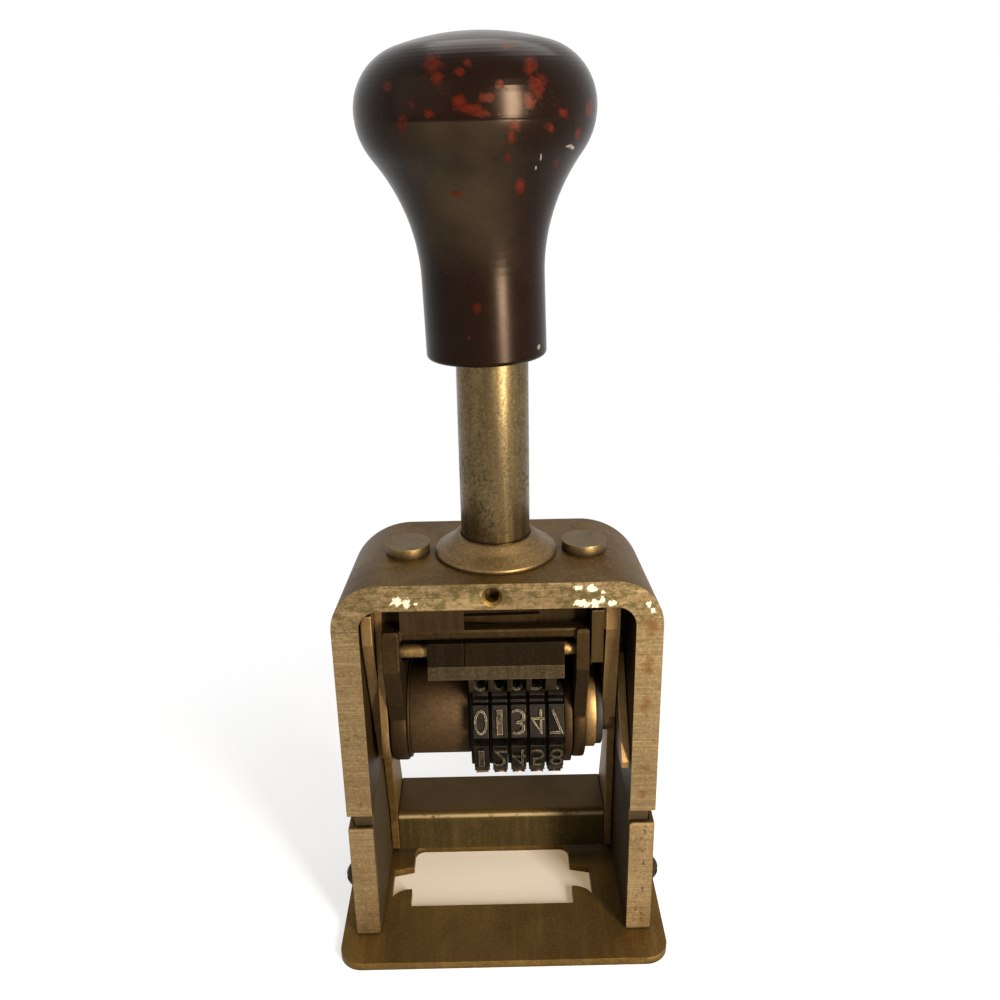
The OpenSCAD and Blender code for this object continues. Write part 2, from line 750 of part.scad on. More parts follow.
// The holes that both arms have: axle, detent rod and rear screw
module arm_holes_2d() {
    translate([0, axle_z]) circle(axle_d / 2 + fixed_gap);
    translate([detent_y, detent_z]) circle(detent_rod_d / 2 + fixed_gap);
    translate([arm_screw_ys[1], head_mid_z]) circle(arm_screw_r + fixed_gap);
}

// The rib that the carrier's nose rides on; its top corner follows the arch's inside
module cam_rib() {
    color("#86744f") intersection() {
        along_x(cam_rib_x0, left_arm_x0) difference() {
            polygon([[-cam_toe_front, cam_toe_z], [cam_toe_y, cam_toe_z], [cam_y(cam_top_z), cam_top_z],
                     [cam_y(cam_top_z), head_top_z], [-cam_top_front, head_top_z],
                     [-cam_top_front, cam_top_z]]);
            translate([0, axle_z]) circle(axle_d / 2 + fixed_gap);
            translate([arm_screw_ys[0], head_mid_z]) circle(arm_screw_r + fixed_gap);
        }
        translate([0, half_d, 0]) rotate([90, 0, 0]) linear_extrude(arch_d)
            round_rect([side_gap - inner_x, 0], [0, under_arch_z - side_gap], arch_inner_r - side_gap);
    }
}

module right_arm() {
    color("#a08c62") along_x(right_arm_x0, right_arm_x1) difference() {
        union() {
            arm_2d(right_arm_end_r);
            polygon([[right_arm_end_r, axle_z], [detent_y + detent_boss_r, detent_z],
                     [head_rear, head_z + 1], [0, head_z + 1]]);
            translate([detent_y, detent_z]) circle(detent_boss_r);
        }
        arm_holes_2d();
    }
}

// Sheet across the backs of the head and the arms, cut out round the wheels
module back_plate() {
    color("#5c4f3a") difference() {
        block([left_arm_x0, head_rear, axle_z - back_plate_low],
              [right_arm_x1, head_rear + back_plate_t, head_top_z]);
        block([first_type_x - back_plate_side, head_rear - eps, axle_z - 2 * back_plate_low],
              [last_type_x + back_plate_side, head_rear + back_plate_t + eps, axle_z + back_plate_notch]);
    }
}

module arm_screws() {
    color("#6a5b45") {
        arm_screw(cam_rib_x0 + end_sink, left_arm_x1 + arm_screw_grip, arm_screw_ys[0]);
        arm_screw(left_arm_x0 + end_sink, left_arm_x1 + arm_screw_grip, arm_screw_ys[1]);
        arm_screw(right_arm_x0 - arm_screw_grip, right_arm_x1 - end_sink, arm_screw_ys[1]);
    }
}

module arm_screw(x0, x1, y) {
    bar_x(x0, x1, y, head_mid_z, arm_screw_r);
}

module wheel_axle() {
    color("#6a5b45") bar_x(cam_rib_x0 + end_sink, right_arm_x1 - end_sink, 0, axle_z, axle_d / 2);
}

// A disc or drum on the axle
module on_axle(x0, x1, r, gap) {
    difference() {
        bar_x(x0, x1, 0, axle_z, r);
        bar_x(x0 - eps, x1 + eps, 0, axle_z, axle_d / 2 + gap);
    }
}

module spacer_drum() {
    color("#7a5a3a") on_axle(drum_x0, drum_x1, drum_d / 2, fixed_gap);
}

module left_washer() {
    color("#7a6748") on_axle(drum_x0 - left_washer_t, drum_x0, bail_hub_r - 0.5, fixed_gap);
}

module right_washer() {
    color("#5c4f3a") on_axle(crank_x1 + run_gap, right_arm_x0, crank_r - 0.5, fixed_gap);
}

module side_disc() {
    color("#6b5c44") on_axle(side_disc_x0, side_disc_x0 + side_disc_t, side_disc_r, fixed_gap);
}

module detent_rod() {
    color("#6a5b45")
        bar_x(left_arm_x0 + end_sink, right_arm_x1 - end_sink, detent_y, detent_z, detent_rod_d / 2);
}

// Wedge-shaped spring on the head's front, just behind the bail's bar
module leaf_spring() {
    left_z = bail_z + leaf_left_rise;
    color("#a89468") translate([0, -head_front, 0]) rotate([90, 0, 0]) linear_extrude(leaf_w)
        polygon([[leaf_x0, left_z], [leaf_tip_x, bail_z], [leaf_x1, bail_z + leaf_right_t],
                 [leaf_x0, left_z + leaf_left_t]]);
}

// ---- Type wheels ----

// A ratchet's outline: each tooth rises along a slope and drops along a radius
function ratchet_outline() = [for (k = [0:digit_count - 1])
    for (p = [[ratchet_r, k * step_deg], [ratchet_r - ratchet_depth, k * step_deg + 1]])
        p[0] * [cos(p[1]), sin(p[1])]];

// Outline of the wheel's ten type blocks, with a narrow valley between each two
function type_outline() =
    let (valley_r = sqrt(core_r * core_r - type_len * type_len / 4))
    [for (k = [0:digit_count - 1])
        for (p = [[-type_len / 2, valley_r], [-type_len / 2, type_r], [type_len / 2, type_r],
                  [type_len / 2, valley_r]])
            [p.x * cos(k * step_deg) + p.y * sin(k * step_deg),
             p.y * cos(k * step_deg) - p.x * sin(k * step_deg)]];

module type_wheel(i) {
    x = first_type_x + i * wheel_pitch;
    color("#4f4638") translate([0, 0, axle_z]) difference() {
        union() {
            along_x(x - ratchet_w, x + eps) rotate(-90) polygon(ratchet_outline());
            along_x(x, x + type_w) polygon(type_outline());
        }
        bar_x(x - ratchet_w - eps, x + type_w + eps, 0, 0, wheel_bore_r);
    }
}

module type_wheel_1() { type_wheel(0); }
module type_wheel_2() { type_wheel(1); }
module type_wheel_3() { type_wheel(2); }
module type_wheel_4() { type_wheel(3); }
module type_wheel_5() { type_wheel(4); }

// ---- Feed ----

// Outline of one of the bail's arms: hub and arm to the bar, with the two holes
module bail_arm_2d() {
    difference() {
        union() {
            translate([0, axle_z]) circle(bail_hub_r);
            bail_neck_2d([bail_y, bail_z], bail_arm_w);
        }
        translate([0, axle_z]) circle(wheel_bore_r);
        translate([pawl_y, pawl_z]) circle(pawl_rod_d / 2 + fixed_gap);
    }
}

// The bail's arm: broad at the hub, and square-ended at the bar
module bail_neck_2d(to, w) {
    polygon([[-bail_hub_r + 0.6, axle_z + 3], [bail_hub_r - 3, axle_z + 6.5],
             [to.x + w / 2, to.y - w * 1.6], [to.x + w / 2, to.y + bail_bar_t / 2],
             [to.x - w / 2, to.y + bail_bar_t / 2], [to.x - w / 2 - 0.4, to.y - w * 1.6]]);
}

module feed_bail() {
    bar_y0 = bail_y - bail_bar_w / 2;
    color("#8f7c55") {
        along_x(bail_left_x0, bail_left_x1) bail_arm_2d();
        along_x(bail_right_x0, bail_right_x1) bail_arm_2d();
        block([bail_left_x1 - eps, bar_y0, bail_z - bail_bar_t / 2],
              [bail_right_x0 + eps, bar_y0 + bail_bar_w, bail_z + bail_bar_t / 2]);
    }
}

// Disc and horn beside the bail's right arm; the horn meets the stop lug at rest
module bail_crank() {
    horn_top = lug_z - 0.15;
    color("#86734e") along_x(crank_x0, crank_x1) difference() {
        union() {
            translate([0, axle_z]) circle(crank_r);
            translate([lug_toe_rear - horn_w, axle_z]) square([horn_w, horn_top - axle_z]);
        }
        translate([0, axle_z]) circle(wheel_bore_r);
    }
}

module pawl_rod() {
    color("#9a8860") bar_x(bail_left_x0, bail_right_x1, pawl_y, pawl_z, pawl_rod_d / 2);
}

// Cross-section of the block on the pawl rod
module pawl_section() {
    difference() {
        translate([pawl_y - pawl_block_front, pawl_z - pawl_block_down])
            square([pawl_block_front + pawl_block_rear, pawl_block_down + pawl_block_up]);
        translate([pawl_y, pawl_z]) circle(pawl_rod_d / 2 + run_gap);
    }
}

module rod_sleeve() {
    color("#4a4032") along_x(sleeve_x0, pawl_x0 - wheel_gap) pawl_section();
}

module pawl_block() {
    color("#4a4032") along_x(pawl_x0, pawl_x1) pawl_section();
}

// The comb: a lip below the block and one slanted tooth over each wheel
module pawl_comb() {
    lip_back = comb_y + comb_t;
    tooth_dir = [cos(tooth_angle), sin(tooth_angle)];
    tip = [0, axle_z] + tooth_tip_r * tooth_dir;
    deep_tip = [0, axle_z] + tip_r * tooth_dir;
    lip_bottom = comb_z - comb_drop;
    color("#6f6148") {
        along_x(sleeve_x0, pawl_x1) polygon([
            [comb_y, comb_z - eps], [pawl_y + pawl_block_rear - 0.4, comb_z - eps],
            [pawl_y + pawl_block_rear - 0.4, comb_z - comb_t], [lip_back, comb_z - comb_t],
            [lip_back, lip_bottom], [comb_y, lip_bottom]]);
        for (i = [0:wheel_count - 1]) {
            lane = ratchet_lane(i);
            w = i == wheel_count - 1 ? last_tooth_w : tooth_w;
            along_x(lane[0], lane[0] + w) comb_tooth(lip_back, lip_bottom, tip, 1);
            along_x(lane[0], lane[1]) comb_tooth(lip_back, lip_bottom, deep_tip, 0.5);
        }
    }
}

module comb_tooth(lip_back, lip_bottom, tip, t) {
    polygon([[comb_y, lip_bottom + 0.6], [lip_back + 0.5, lip_bottom + 0.6], tip + [t * 0.72, t * 0.69],
             tip, tip - [t * 0.69, -t * 0.2]]);
}

// Sprung comb behind the wheels that holds each at its number
module detent_comb() {
    tip = [0, axle_z] + tip_r * [cos(detent_angle), sin(detent_angle)];
    axis = [detent_y, detent_z];
    color("#5a4e3b") difference() {
        union() {
            bar_x(drum_x1, side_disc_x0, detent_y, detent_z, detent_sleeve_r);
            for (i = [0:wheel_count - 1]) along_x(ratchet_lane(i)[0], ratchet_lane(i)[1])
                polygon([tip, tip + [0.9, -0.5], axis + [1.4, -0.8], axis + [-1.4, 0.6]]);
        }
        bar_x(drum_x1 - eps, side_disc_x0 + eps, detent_y, detent_z, detent_rod_d / 2 + run_gap);
    }
}

// ---- Pad carrier ----

// Bent sheet channel between the carrier's arms
module pad_tray() {
    inner_r = tray_bend_r - tray_t;
    bend_c = [tray_front + tray_bend_r, tray_top_z - tray_bend_r];
    color("#7b6845") along_x(-carrier_arm_x0, carrier_arm_x0) {
        polygon(concat(
            [[tray_front, tray_z]],
            arc(bend_c, tray_bend_r, 180, 90, 8),
            [[tray_rear, tray_top_z], [tray_rear, tray_top_z - 3], [tray_rear - tray_t, tray_top_z - 3]],
            [[tray_rear - tray_t, tray_top_z - tray_t]],
            arc(bend_c, max(inner_r, 0.3), 90, 180, 6),
            [[tray_front + tray_t, tray_z]]
        ));
    }
}

// Outline of a carrier arm: pivot boss, hanging strip and the side of the channel
module carrier_arm_2d(with_nose) {
    nose_z = cam_toe_z;
    nose_y = cam_y(nose_z) + cam_gap;
    hang_z = nose_z + 6;
    translate([pivot_y, pivot_z]) circle(pivot_boss_r);
    polygon(concat(
        [[arm_front, pivot_z], [arm_front, hang_z]],
        with_nose
            ? [[nose_y, nose_z + nose_half_h], [nose_y, nose_z - nose_half_h]]
            : [[arm_front - 1, nose_z]],
        [[tray_front, tray_top_z - tray_bend_r], [tray_front, tray_z], [tray_rear, tray_z]],
        [[tray_rear, tray_top_z], [arm_rear + 0.4, nose_z - 4], [arm_rear, hang_z], [arm_rear, pivot_z]]
    ));
}

// The hole for the pivot screw
module pivot_hole_2d() {
    translate([pivot_y, pivot_z]) circle(pivot_d / 2 + run_gap);
}

module left_carrier_arm() {
    color("#77654a") along_x(-carrier_arm_x1, -carrier_arm_x0) difference() {
        carrier_arm_2d(true);
        pivot_hole_2d();
    }
}

// The right arm also has a finger that reaches forward to the machine's front
module right_carrier_arm() {
    half = finger_w / 2;
    elbow = [0, pivot_z - 2];
    tip = [-finger_tip_y, finger_tip_z];
    color("#8a7650") along_x(carrier_arm_x0, carrier_arm_x1) difference() {
        union() {
            carrier_arm_2d(false);
            polygon([[pivot_y, pivot_z - half], [pivot_y, pivot_z + half], elbow + [0, half],
                     elbow + [-half, half / 3], tip + [0, 1.4], tip, tip + [2.6, 0.2],
                     elbow + [half, -half]]);
        }
        pivot_hole_2d();
    }
}

module carrier_pivots() {
    color("#6a5b45") for (side = [0, 1]) mirror([side, 0, 0]) difference() {
        bar_x(carrier_arm_x0, half_w, pivot_y, pivot_z, pivot_d / 2);
        block([half_w - pivot_slot_depth, pivot_y - pivot_d, pivot_z - pivot_slot_w / 2],
              [half_w + 1, pivot_y + pivot_d, pivot_z + pivot_slot_w / 2]);
    }
}

base_plate();
left_foot();
right_foot();
base_screws();
side_screws();
left_leg();
right_leg();
arch_top();
collar();
bumper_washer();
left_top_screw();
right_top_screw();
stop_lug();
left_bracket();
key_screw();
spring_seat();
return_spring();
knob();
stem_tube();
stem_plug();
stem_pin();
carriage_head();
left_arm();
cam_rib();
right_arm();
back_plate();
arm_screws();
wheel_axle();
spacer_drum();
left_washer();
right_washer();
side_disc();
detent_rod();
leaf_spring();
type_wheel_1();
type_wheel_2();
type_wheel_3();
type_wheel_4();
type_wheel_5();
feed_bail();
bail_crank();
pawl_rod();
rod_sleeve();
pawl_block();
pawl_comb();
detent_comb();
pad_tray();
left_carrier_arm();
right_carrier_arm();
carrier_pivots();
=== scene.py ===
"""Looks of a hand numbering machine: tarnished nickel frame, worn lacquered knob, inked type wheels."""

import math

import bmesh
import bpy
from mathutils import Matrix, Vector

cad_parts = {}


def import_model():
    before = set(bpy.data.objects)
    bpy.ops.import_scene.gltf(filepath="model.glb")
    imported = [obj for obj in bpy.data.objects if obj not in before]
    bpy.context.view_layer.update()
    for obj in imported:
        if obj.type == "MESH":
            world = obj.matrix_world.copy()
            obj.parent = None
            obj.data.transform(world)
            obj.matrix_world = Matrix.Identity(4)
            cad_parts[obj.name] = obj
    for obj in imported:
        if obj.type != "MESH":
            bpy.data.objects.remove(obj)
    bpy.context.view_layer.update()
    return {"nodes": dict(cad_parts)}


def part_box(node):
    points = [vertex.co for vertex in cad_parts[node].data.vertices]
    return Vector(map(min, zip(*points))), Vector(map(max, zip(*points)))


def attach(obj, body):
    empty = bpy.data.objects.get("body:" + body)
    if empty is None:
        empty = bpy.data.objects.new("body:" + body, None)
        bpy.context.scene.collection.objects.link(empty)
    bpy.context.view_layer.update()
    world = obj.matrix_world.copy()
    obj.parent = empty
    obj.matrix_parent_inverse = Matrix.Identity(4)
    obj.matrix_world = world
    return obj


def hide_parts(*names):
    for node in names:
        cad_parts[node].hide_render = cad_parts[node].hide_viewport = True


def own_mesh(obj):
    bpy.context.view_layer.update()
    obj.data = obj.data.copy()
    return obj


MM = 0.001

# ---- Camera, fitted to the photograph ----
IMAGE_PX = 1000
FOCAL_PX = 981.9
SENSOR_MM = 36
CAMERA_CLIP_START = 0.01
CAMERA_PITCH = math.radians(20.84)
CAMERA_YAW = math.radians(0.27)
CAMERA_ROLL = math.radians(1.06)
CAMERA_AT = Vector((0.00015, -0.16602, 0.15067))

# ---- Places on the machine, in metres ----
AXLE_Z = 0.0445
WHEELS = 5
DIGITS = 10
TYPE_STEP = math.tau / DIGITS
FRONT_ROW = (0, 1, 3, 4, 7)
FRONT_ROW_FACET = 3
TYPE_WIDTH = 2.8 * MM
FIGURE_HEIGHT = 4.6 * MM
FIGURE_WIDTH = 2.4 * MM
FIGURE_BEVEL = 0.05 * MM
NARROW_FIGURE = 0.42
FIGURE_THINNING = -0.018
FIGURE_RELIEF = 0.4 * MM
FIGURE_SINK = 0.1 * MM
ARCH_NODES = ("arch_top", "left_leg", "right_leg")
FRONT_Y = -0.0146
GROOVE_TOP = 0.0300
KNOB_SEAM_Z = 0.1515
KNOB_WIDEST_Z = 0.1535
# Painted sheen on the knob's satin part: left of centre, fading out down the neck.
KNOB_SHEEN_LEFT_OFFSET = 0.005
KNOB_SHEEN_FADE_Z = (0.138, 0.126)
FOOT_PITS_X = 0.0266
STEM_PITTED_Z = (0.118, 0.086)
ARCH_TOP_OLIVE_Z = (0.064, 0.073)
TRAY_BEND_Z = 0.0109
TRAY_FRONT_Y = (0.0094, 0.0091)


# ---- Node helpers ----


def add(tree, kind, settings=None, **inputs):
    """Adds a shader node; an input is a socket to link or a plain value."""
    node = tree.nodes.new("ShaderNode" + kind)
    for name, value in (settings or {}).items():
        setattr(node, name, value)
    for name, value in inputs.items():
        connect(tree, node.inputs[name.replace("_", " ")], value)
    return node


def connect(tree, socket, value):
    if isinstance(value, bpy.types.NodeSocket):
        tree.links.new(value, socket)
    elif isinstance(value, (tuple, list)) and len(value) == 3 and len(socket.default_value) == 4:
        socket.default_value = (*value, 1)
    else:
        socket.default_value = value


def maths(tree, operation, a, b=0.0):
    node = add(tree, "Math", {"operation": operation})
    connect(tree, node.inputs[0], a)
    connect(tree, node.inputs[1], b)
    return node.outputs[0]


def vector_maths(tree, operation, vector, *other):
    """The node of a vector operation, on one vector or on two."""
    node = add(tree, "VectorMath", {"operation": operation})
    for socket, value in zip(node.inputs, (vector, *other)):
        connect(tree, socket, value)
    return node


def between(tree, value, low, high):
    """0 at low, 1 at high, smooth in between."""
    settings = {"interpolation_type": "SMOOTHSTEP", "clamp": True}
    node = add(tree, "MapRange", settings, Value=value, From_Min=low, From_Max=high)
    return node.outputs["Result"]


def product(tree, *values):
    """All the values multiplied together."""
    total = values[0]
    for value in values[1:]:
        total = maths(tree, "MULTIPLY", total, value)
    return total


def highest(tree, a, b):
    return maths(tree, "MAXIMUM", a, b)


def plus(tree, a, b):
    return maths(tree, "ADD", a, b)


def less(tree, a, b):
    return maths(tree, "SUBTRACT", a, b)


def size_of(tree, a):
    return maths(tree, "ABSOLUTE", a)


def scaled(colour, *factors):
    """The colour times one factor, or times a factor for each channel."""
    factors = factors * 3 if len(factors) == 1 else factors
    return tuple(min(1.0, c * f) for c, f in zip(colour, factors))


def mix(tree, factor, a, b):
    node = add(tree, "Mix", {"data_type": "RGBA", "clamp_factor": True})
    connect(tree, node.inputs[0], factor)
    connect(tree, node.inputs[6], a)
    connect(tree, node.inputs[7], b)
    return node.outputs[2]


def noise(tree, place, scale, detail=3.0, rough=0.55):
    node = add(tree, "TexNoise", None, Vector=place, Scale=scale, Detail=detail, Roughness=rough)
    return node.outputs["Fac"]


def stretched(tree, place, factors):
    """The place scaled along each axis, so that a texture is drawn out along one of them."""
    return vector_maths(tree, "MULTIPLY", place, factors).outputs[0]


def object_place(tree):
    return add(tree, "TexCoord").outputs["Object"]


def object_normal(tree):
    return add(tree, "TexCoord").outputs["Normal"]


def facing(tree, axis, low, high):
    """0 to 1 as the surface's normal goes from low to high along the axis."""
    return between(tree, component(tree, object_normal(tree), axis), low, high)


def component(tree, vector, axis):
    return add(tree, "SeparateXYZ", None, Vector=vector).outputs[axis]


def distance_to(tree, place, point):
    return vector_maths(tree, "DISTANCE", place, point).outputs["Value"]


def worn_edges(tree, radius):
    """1 on an edge and 0 on a flat, from how a bevel of that radius would turn the normal."""
    bevel = add(tree, "Bevel", {"samples": 4}, Radius=radius)
    normal = add(tree, "NewGeometry").outputs["Normal"]
    alike = vector_maths(tree, "DOT_PRODUCT", bevel.outputs[0], normal).outputs["Value"]
    return between(tree, alike, 0.995, 0.9)


def crevices(tree, reach):
    """1 deep in a recess and 0 in the open."""
    shade = add(tree, "AmbientOcclusion", {"samples": 6}, Distance=reach)
    return between(tree, shade.outputs["AO"], 0.75, 0.25)


def new_material(name):
    material = bpy.data.materials.new(name)
    material.use_nodes = True
    tree = material.node_tree
    tree.nodes.clear()
    return material, tree


def finish_material(tree, shader):
    output = add(tree, "OutputMaterial")
    tree.links.new(shader.outputs[0], output.inputs["Surface"])


def link_object(name, data):
    """A new object of the data, in the scene."""
    obj = bpy.data.objects.new(name, data)
    bpy.context.collection.objects.link(obj)
    return obj


# ---- Metals ----

# Near black for grime and for painted shade, in recesses and on the arch's inner sides.
PAINTED_SHADE_AND_GRIME = (0.010, 0.006, 0.003)
GREASE = (0.030, 0.020, 0.009)
STAIN = (0.50, 0.44, 0.38)
BRUSH_AMOUNT = 0.25
WORN_RADIUS = 0.30 * MM
TYPE_WORN_RADIUS = 0.14 * MM
# How far the occlusion mask reaches for painted shade and grime in the metals' recesses.
SHADE_AND_GRIME_REACH = 1.6 * MM
# How far the occlusion mask reaches for ink and painted shade in the type's recesses.
INK_AND_SHADE_REACH = 0.8 * MM


def ragged_spots(tree, place, table, jitter, soft, fine):
    """Ragged spots, 1 inside and 0 outside, round the table's (centre, half sizes) in metres."""
    rough_edge = less(tree, noise(tree, place, fine, 5, 0.7), 0.5)
    rough_edge = product(tree, rough_edge, jitter)
    total = None
    for centre, half in table:
        away = vector_maths(tree, "SUBTRACT", place, centre).outputs[0]
        away = stretched(tree, away, tuple(1 / h for h in half))
        reach = vector_maths(tree, "LENGTH", away).outputs["Value"]
        spot = between(tree, plus(tree, reach, rough_edge), 1, soft)
        total = spot if total is None else highest(tree, total, spot)
    return total


def metal(name, colour, rough=0.48, metallic=0.95, blotch=0.55, grain_amount=0.45, speck=0.35, wear=0.5,
          brush=(900, 900, 60), blotch_scale=110, extra=None):
    """Tarnished metal: blotchy patina, fine grain and pits, brushing, grime and painted shade in recesses,
    rubbed edges.
    """
    material, tree = new_material(name)
    place = object_place(tree)
    dark = scaled(colour, *STAIN)
    pale = scaled(colour, 1.9, 1.95, 2.0)
    blotches = between(tree, noise(tree, place, blotch_scale, 6, 0.62), 0.42, 0.66)
    tone = mix(tree, product(tree, blotches, blotch), colour, dark)
    grain = noise(tree, place, 1900, 4, 0.75)
    tone = mix(tree, product(tree, between(tree, grain, 0.50, 0.30), grain_amount), tone, dark)
    tone = mix(tree, product(tree, between(tree, grain, 0.52, 0.72), grain_amount), tone, pale)
    pits = between(tree, noise(tree, place, 1250, 5, 0.65), 0.57, 0.66)
    pits = product(tree, pits, between(tree, noise(tree, place, 260, 3, 0.6), 0.36, 0.60), speck)
    tone = mix(tree, pits, tone, scaled(dark, 0.45))
    lines = noise(tree, stretched(tree, place, brush), 1.0, 3, 0.65)
    tone = mix(tree, product(tree, between(tree, lines, 0.48, 0.75), BRUSH_AMOUNT), tone, pale)
    tone = mix(tree, product(tree, between(tree, lines, 0.50, 0.25), BRUSH_AMOUNT), tone, dark)
    roughness = plus(tree, product(tree, lines, 0.20), rough - 0.10)
    roughness = plus(tree, roughness, product(tree, blotches, 0.08))
    roughness = plus(tree, roughness, product(tree, pits, 0.25))
    if extra:
        tone, roughness = extra(tree, place, tone, roughness)
    patchy = between(tree, noise(tree, place, 420, 4), 0.30, 0.60)
    edges = product(tree, worn_edges(tree, WORN_RADIUS), patchy, wear)
    tone = mix(tree, edges, tone, scaled(colour, 2.3, 2.3, 2.5))
    # Painted shade and grime: recesses darkened towards near black by the occlusion mask.
    tone = mix(tree, product(tree, crevices(tree, SHADE_AND_GRIME_REACH), 0.80), tone, PAINTED_SHADE_AND_GRIME)
    relief = plus(tree, product(tree, lines, 0.4), product(tree, grain, 0.8))
    relief = less(tree, relief, pits)
    bump = add(tree, "Bump", None, Strength=0.45, Distance=0.035 * MM, Height=relief)
    shader = add(tree, "BsdfPrincipled", None, Base_Color=tone, Roughness=roughness, Metallic=metallic,
                 Normal=bump.outputs[0])
    finish_material(tree, shader)
    return material


FRONT_FACING = (-0.80, -0.97)
UPWARD_FACING = (0.5, 0.9)
FACE = (0.172, 0.112, 0.050)
FACE_PALE = (0.31, 0.222, 0.112)
FACE_OLIVE = (0.066, 0.050, 0.016)
FACE_BROWN = (0.115, 0.052, 0.016)
CHIP_COLOUR = (0.80, 0.69, 0.46)
CHIPS = (
    ((-0.0172, FRONT_Y, 0.0748), (1.0 * MM, MM, 0.9 * MM)),
    ((-0.0156, FRONT_Y, 0.0744), (0.7 * MM, MM, 0.9 * MM)),
    ((-0.0140, FRONT_Y, 0.0742), (0.5 * MM, MM, 0.3 * MM)),
    ((0.0141, FRONT_Y, 0.0767), (0.8 * MM, MM, 0.5 * MM)),
    ((0.0163, FRONT_Y, 0.0765), (1.0 * MM, MM, 0.7 * MM)),
    ((0.0148, FRONT_Y, 0.0737), (1.6 * MM, MM, 0.7 * MM)),
    ((0.0170, FRONT_Y, 0.0736), (0.9 * MM, MM, 0.8 * MM)),
    ((0.0182, FRONT_Y, 0.0743), (0.5 * MM, MM, 0.6 * MM)),
    ((0.0182, FRONT_Y, 0.0758), (0.4 * MM, MM, 0.4 * MM)),
    ((0.0198, FRONT_Y, 0.0736), (0.7 * MM, MM, 0.7 * MM)),
    ((0.0262, FRONT_Y, 0.0732), (0.5 * MM, MM, 0.6 * MM)),
    ((0.0270, FRONT_Y, 0.0720), (0.4 * MM, MM, 0.5 * MM)),
)
RUST = (
    ((-0.0262, FRONT_Y, 0.0478), (1.4 * MM, MM, 0.7 * MM)),
    ((-0.0275, FRONT_Y, 0.0470), (0.7 * MM, MM, 0.4 * MM)),
    ((-0.0262, FRONT_Y, 0.0327), (0.5 * MM, MM, 0.8 * MM)),
    ((0.0266, FRONT_Y, 0.0610), (1.8 * MM, MM, 3.4 * MM)),
    ((0.0262, FRONT_Y, 0.0530), (1.3 * MM, MM, 2.6 * MM)),
    ((0.0264, FRONT_Y, 0.0395), (1.3 * MM, MM, 1.3 * MM)),
    ((0.0262, FRONT_Y, 0.0340), (1.0 * MM, MM, 1.4 * MM)),
    ((0.0270, FRONT_Y, 0.0690), (1.6 * MM, MM, 2.6 * MM)),
)


def brushed_face(tree, place):
    """The bright front face: brushed across, with fine specks and soft blotches."""
    brush = noise(tree, stretched(tree, place, (110, 110, 4200)), 1.0, 4, 0.7)
    face = mix(tree, product(tree, between(tree, brush, 0.50, 0.68), 0.55), FACE, FACE_PALE)
    face = mix(tree, product(tree, between(tree, brush, 0.48, 0.32), 0.40), face, scaled(FACE, 0.45))
    grain = noise(tree, place, 1700, 4, 0.75)
    face = mix(tree, product(tree, between(tree, grain, 0.52, 0.68), 0.55), face, FACE_PALE)
    face = mix(tree, product(tree, between(tree, grain, 0.47, 0.33), 0.45), face, FACE_OLIVE)
    blotches = between(tree, noise(tree, place, 150, 6, 0.65), 0.50, 0.72)
    face = mix(tree, product(tree, blotches, 0.45), face, scaled(FACE, 0.62, 0.58, 0.52))
    return face, brush


def arch_extra(tree, place, tone, roughness):
    """The front face is brushed bright and chipped; the inner sides are darkened with painted shade, and the
    groove is dark.
    """
    front = facing(tree, "Y", *FRONT_FACING)
    face, brush = brushed_face(tree, place)
    # Painted shade: faces turned in towards the middle, the legs' inner sides, are darkened.
    inward = product(tree, component(tree, object_normal(tree), "X"), component(tree, place, "X"))
    tone = mix(tree, product(tree, between(tree, inward, -0.010, -0.018), 0.65), tone, PAINTED_SHADE_AND_GRIME)
    height = component(tree, place, "Z")
    olive = between(tree, noise(tree, stretched(tree, place, (1, 1, 1.4)), 520, 7, 0.82), 0.47, 0.57)
    top = between(tree, height, *ARCH_TOP_OLIVE_Z)
    olive = product(tree, olive, plus(tree, product(tree, top, 0.75), 0.08))
    face = mix(tree, olive, face, FACE_OLIVE)
    rust = ragged_spots(tree, place, RUST, 3.4, 0.0, 700)
    face = mix(tree, product(tree, rust, 0.80), face, FACE_BROWN)
    chips = ragged_spots(tree, place, CHIPS, 3.4, 0.70, 1500)
    face = mix(tree, product(tree, chips, 0.92), face, CHIP_COLOUR)
    tone = mix(tree, front, tone, face)
    groove = between(tree, height, GROOVE_TOP + 0.05 * MM, GROOVE_TOP - 0.05 * MM)
    groove = product(tree, groove, 0.93)
    tone = mix(tree, groove, tone, GREASE)
    face_rough = plus(tree, product(tree, brush, 0.18), 0.36)
    blend = add(tree, "Mix", {"data_type": "FLOAT"})
    for socket, value in zip((0, 2, 3), (front, roughness, face_rough)):
        connect(tree, blend.inputs[socket], value)
    return tone, plus(tree, blend.outputs[0], product(tree, groove, 0.3))


def foot_extra(tree, place, tone, roughness):
    """The feet's front faces are rubbed as the arch's is, with a column of fine pits."""
    front = facing(tree, "Y", *FRONT_FACING)
    face, _ = brushed_face(tree, place)
    near = size_of(tree, less(tree, component(tree, place, "X"), FOOT_PITS_X))
    worms = between(tree, noise(tree, place, 900, 5, 0.6), 0.57, 0.62)
    worms = product(tree, worms, between(tree, near, 1.3 * MM, 0.6 * MM), 0.8)
    face = mix(tree, worms, face, (0.060, 0.038, 0.016))
    return mix(tree, front, tone, face), roughness


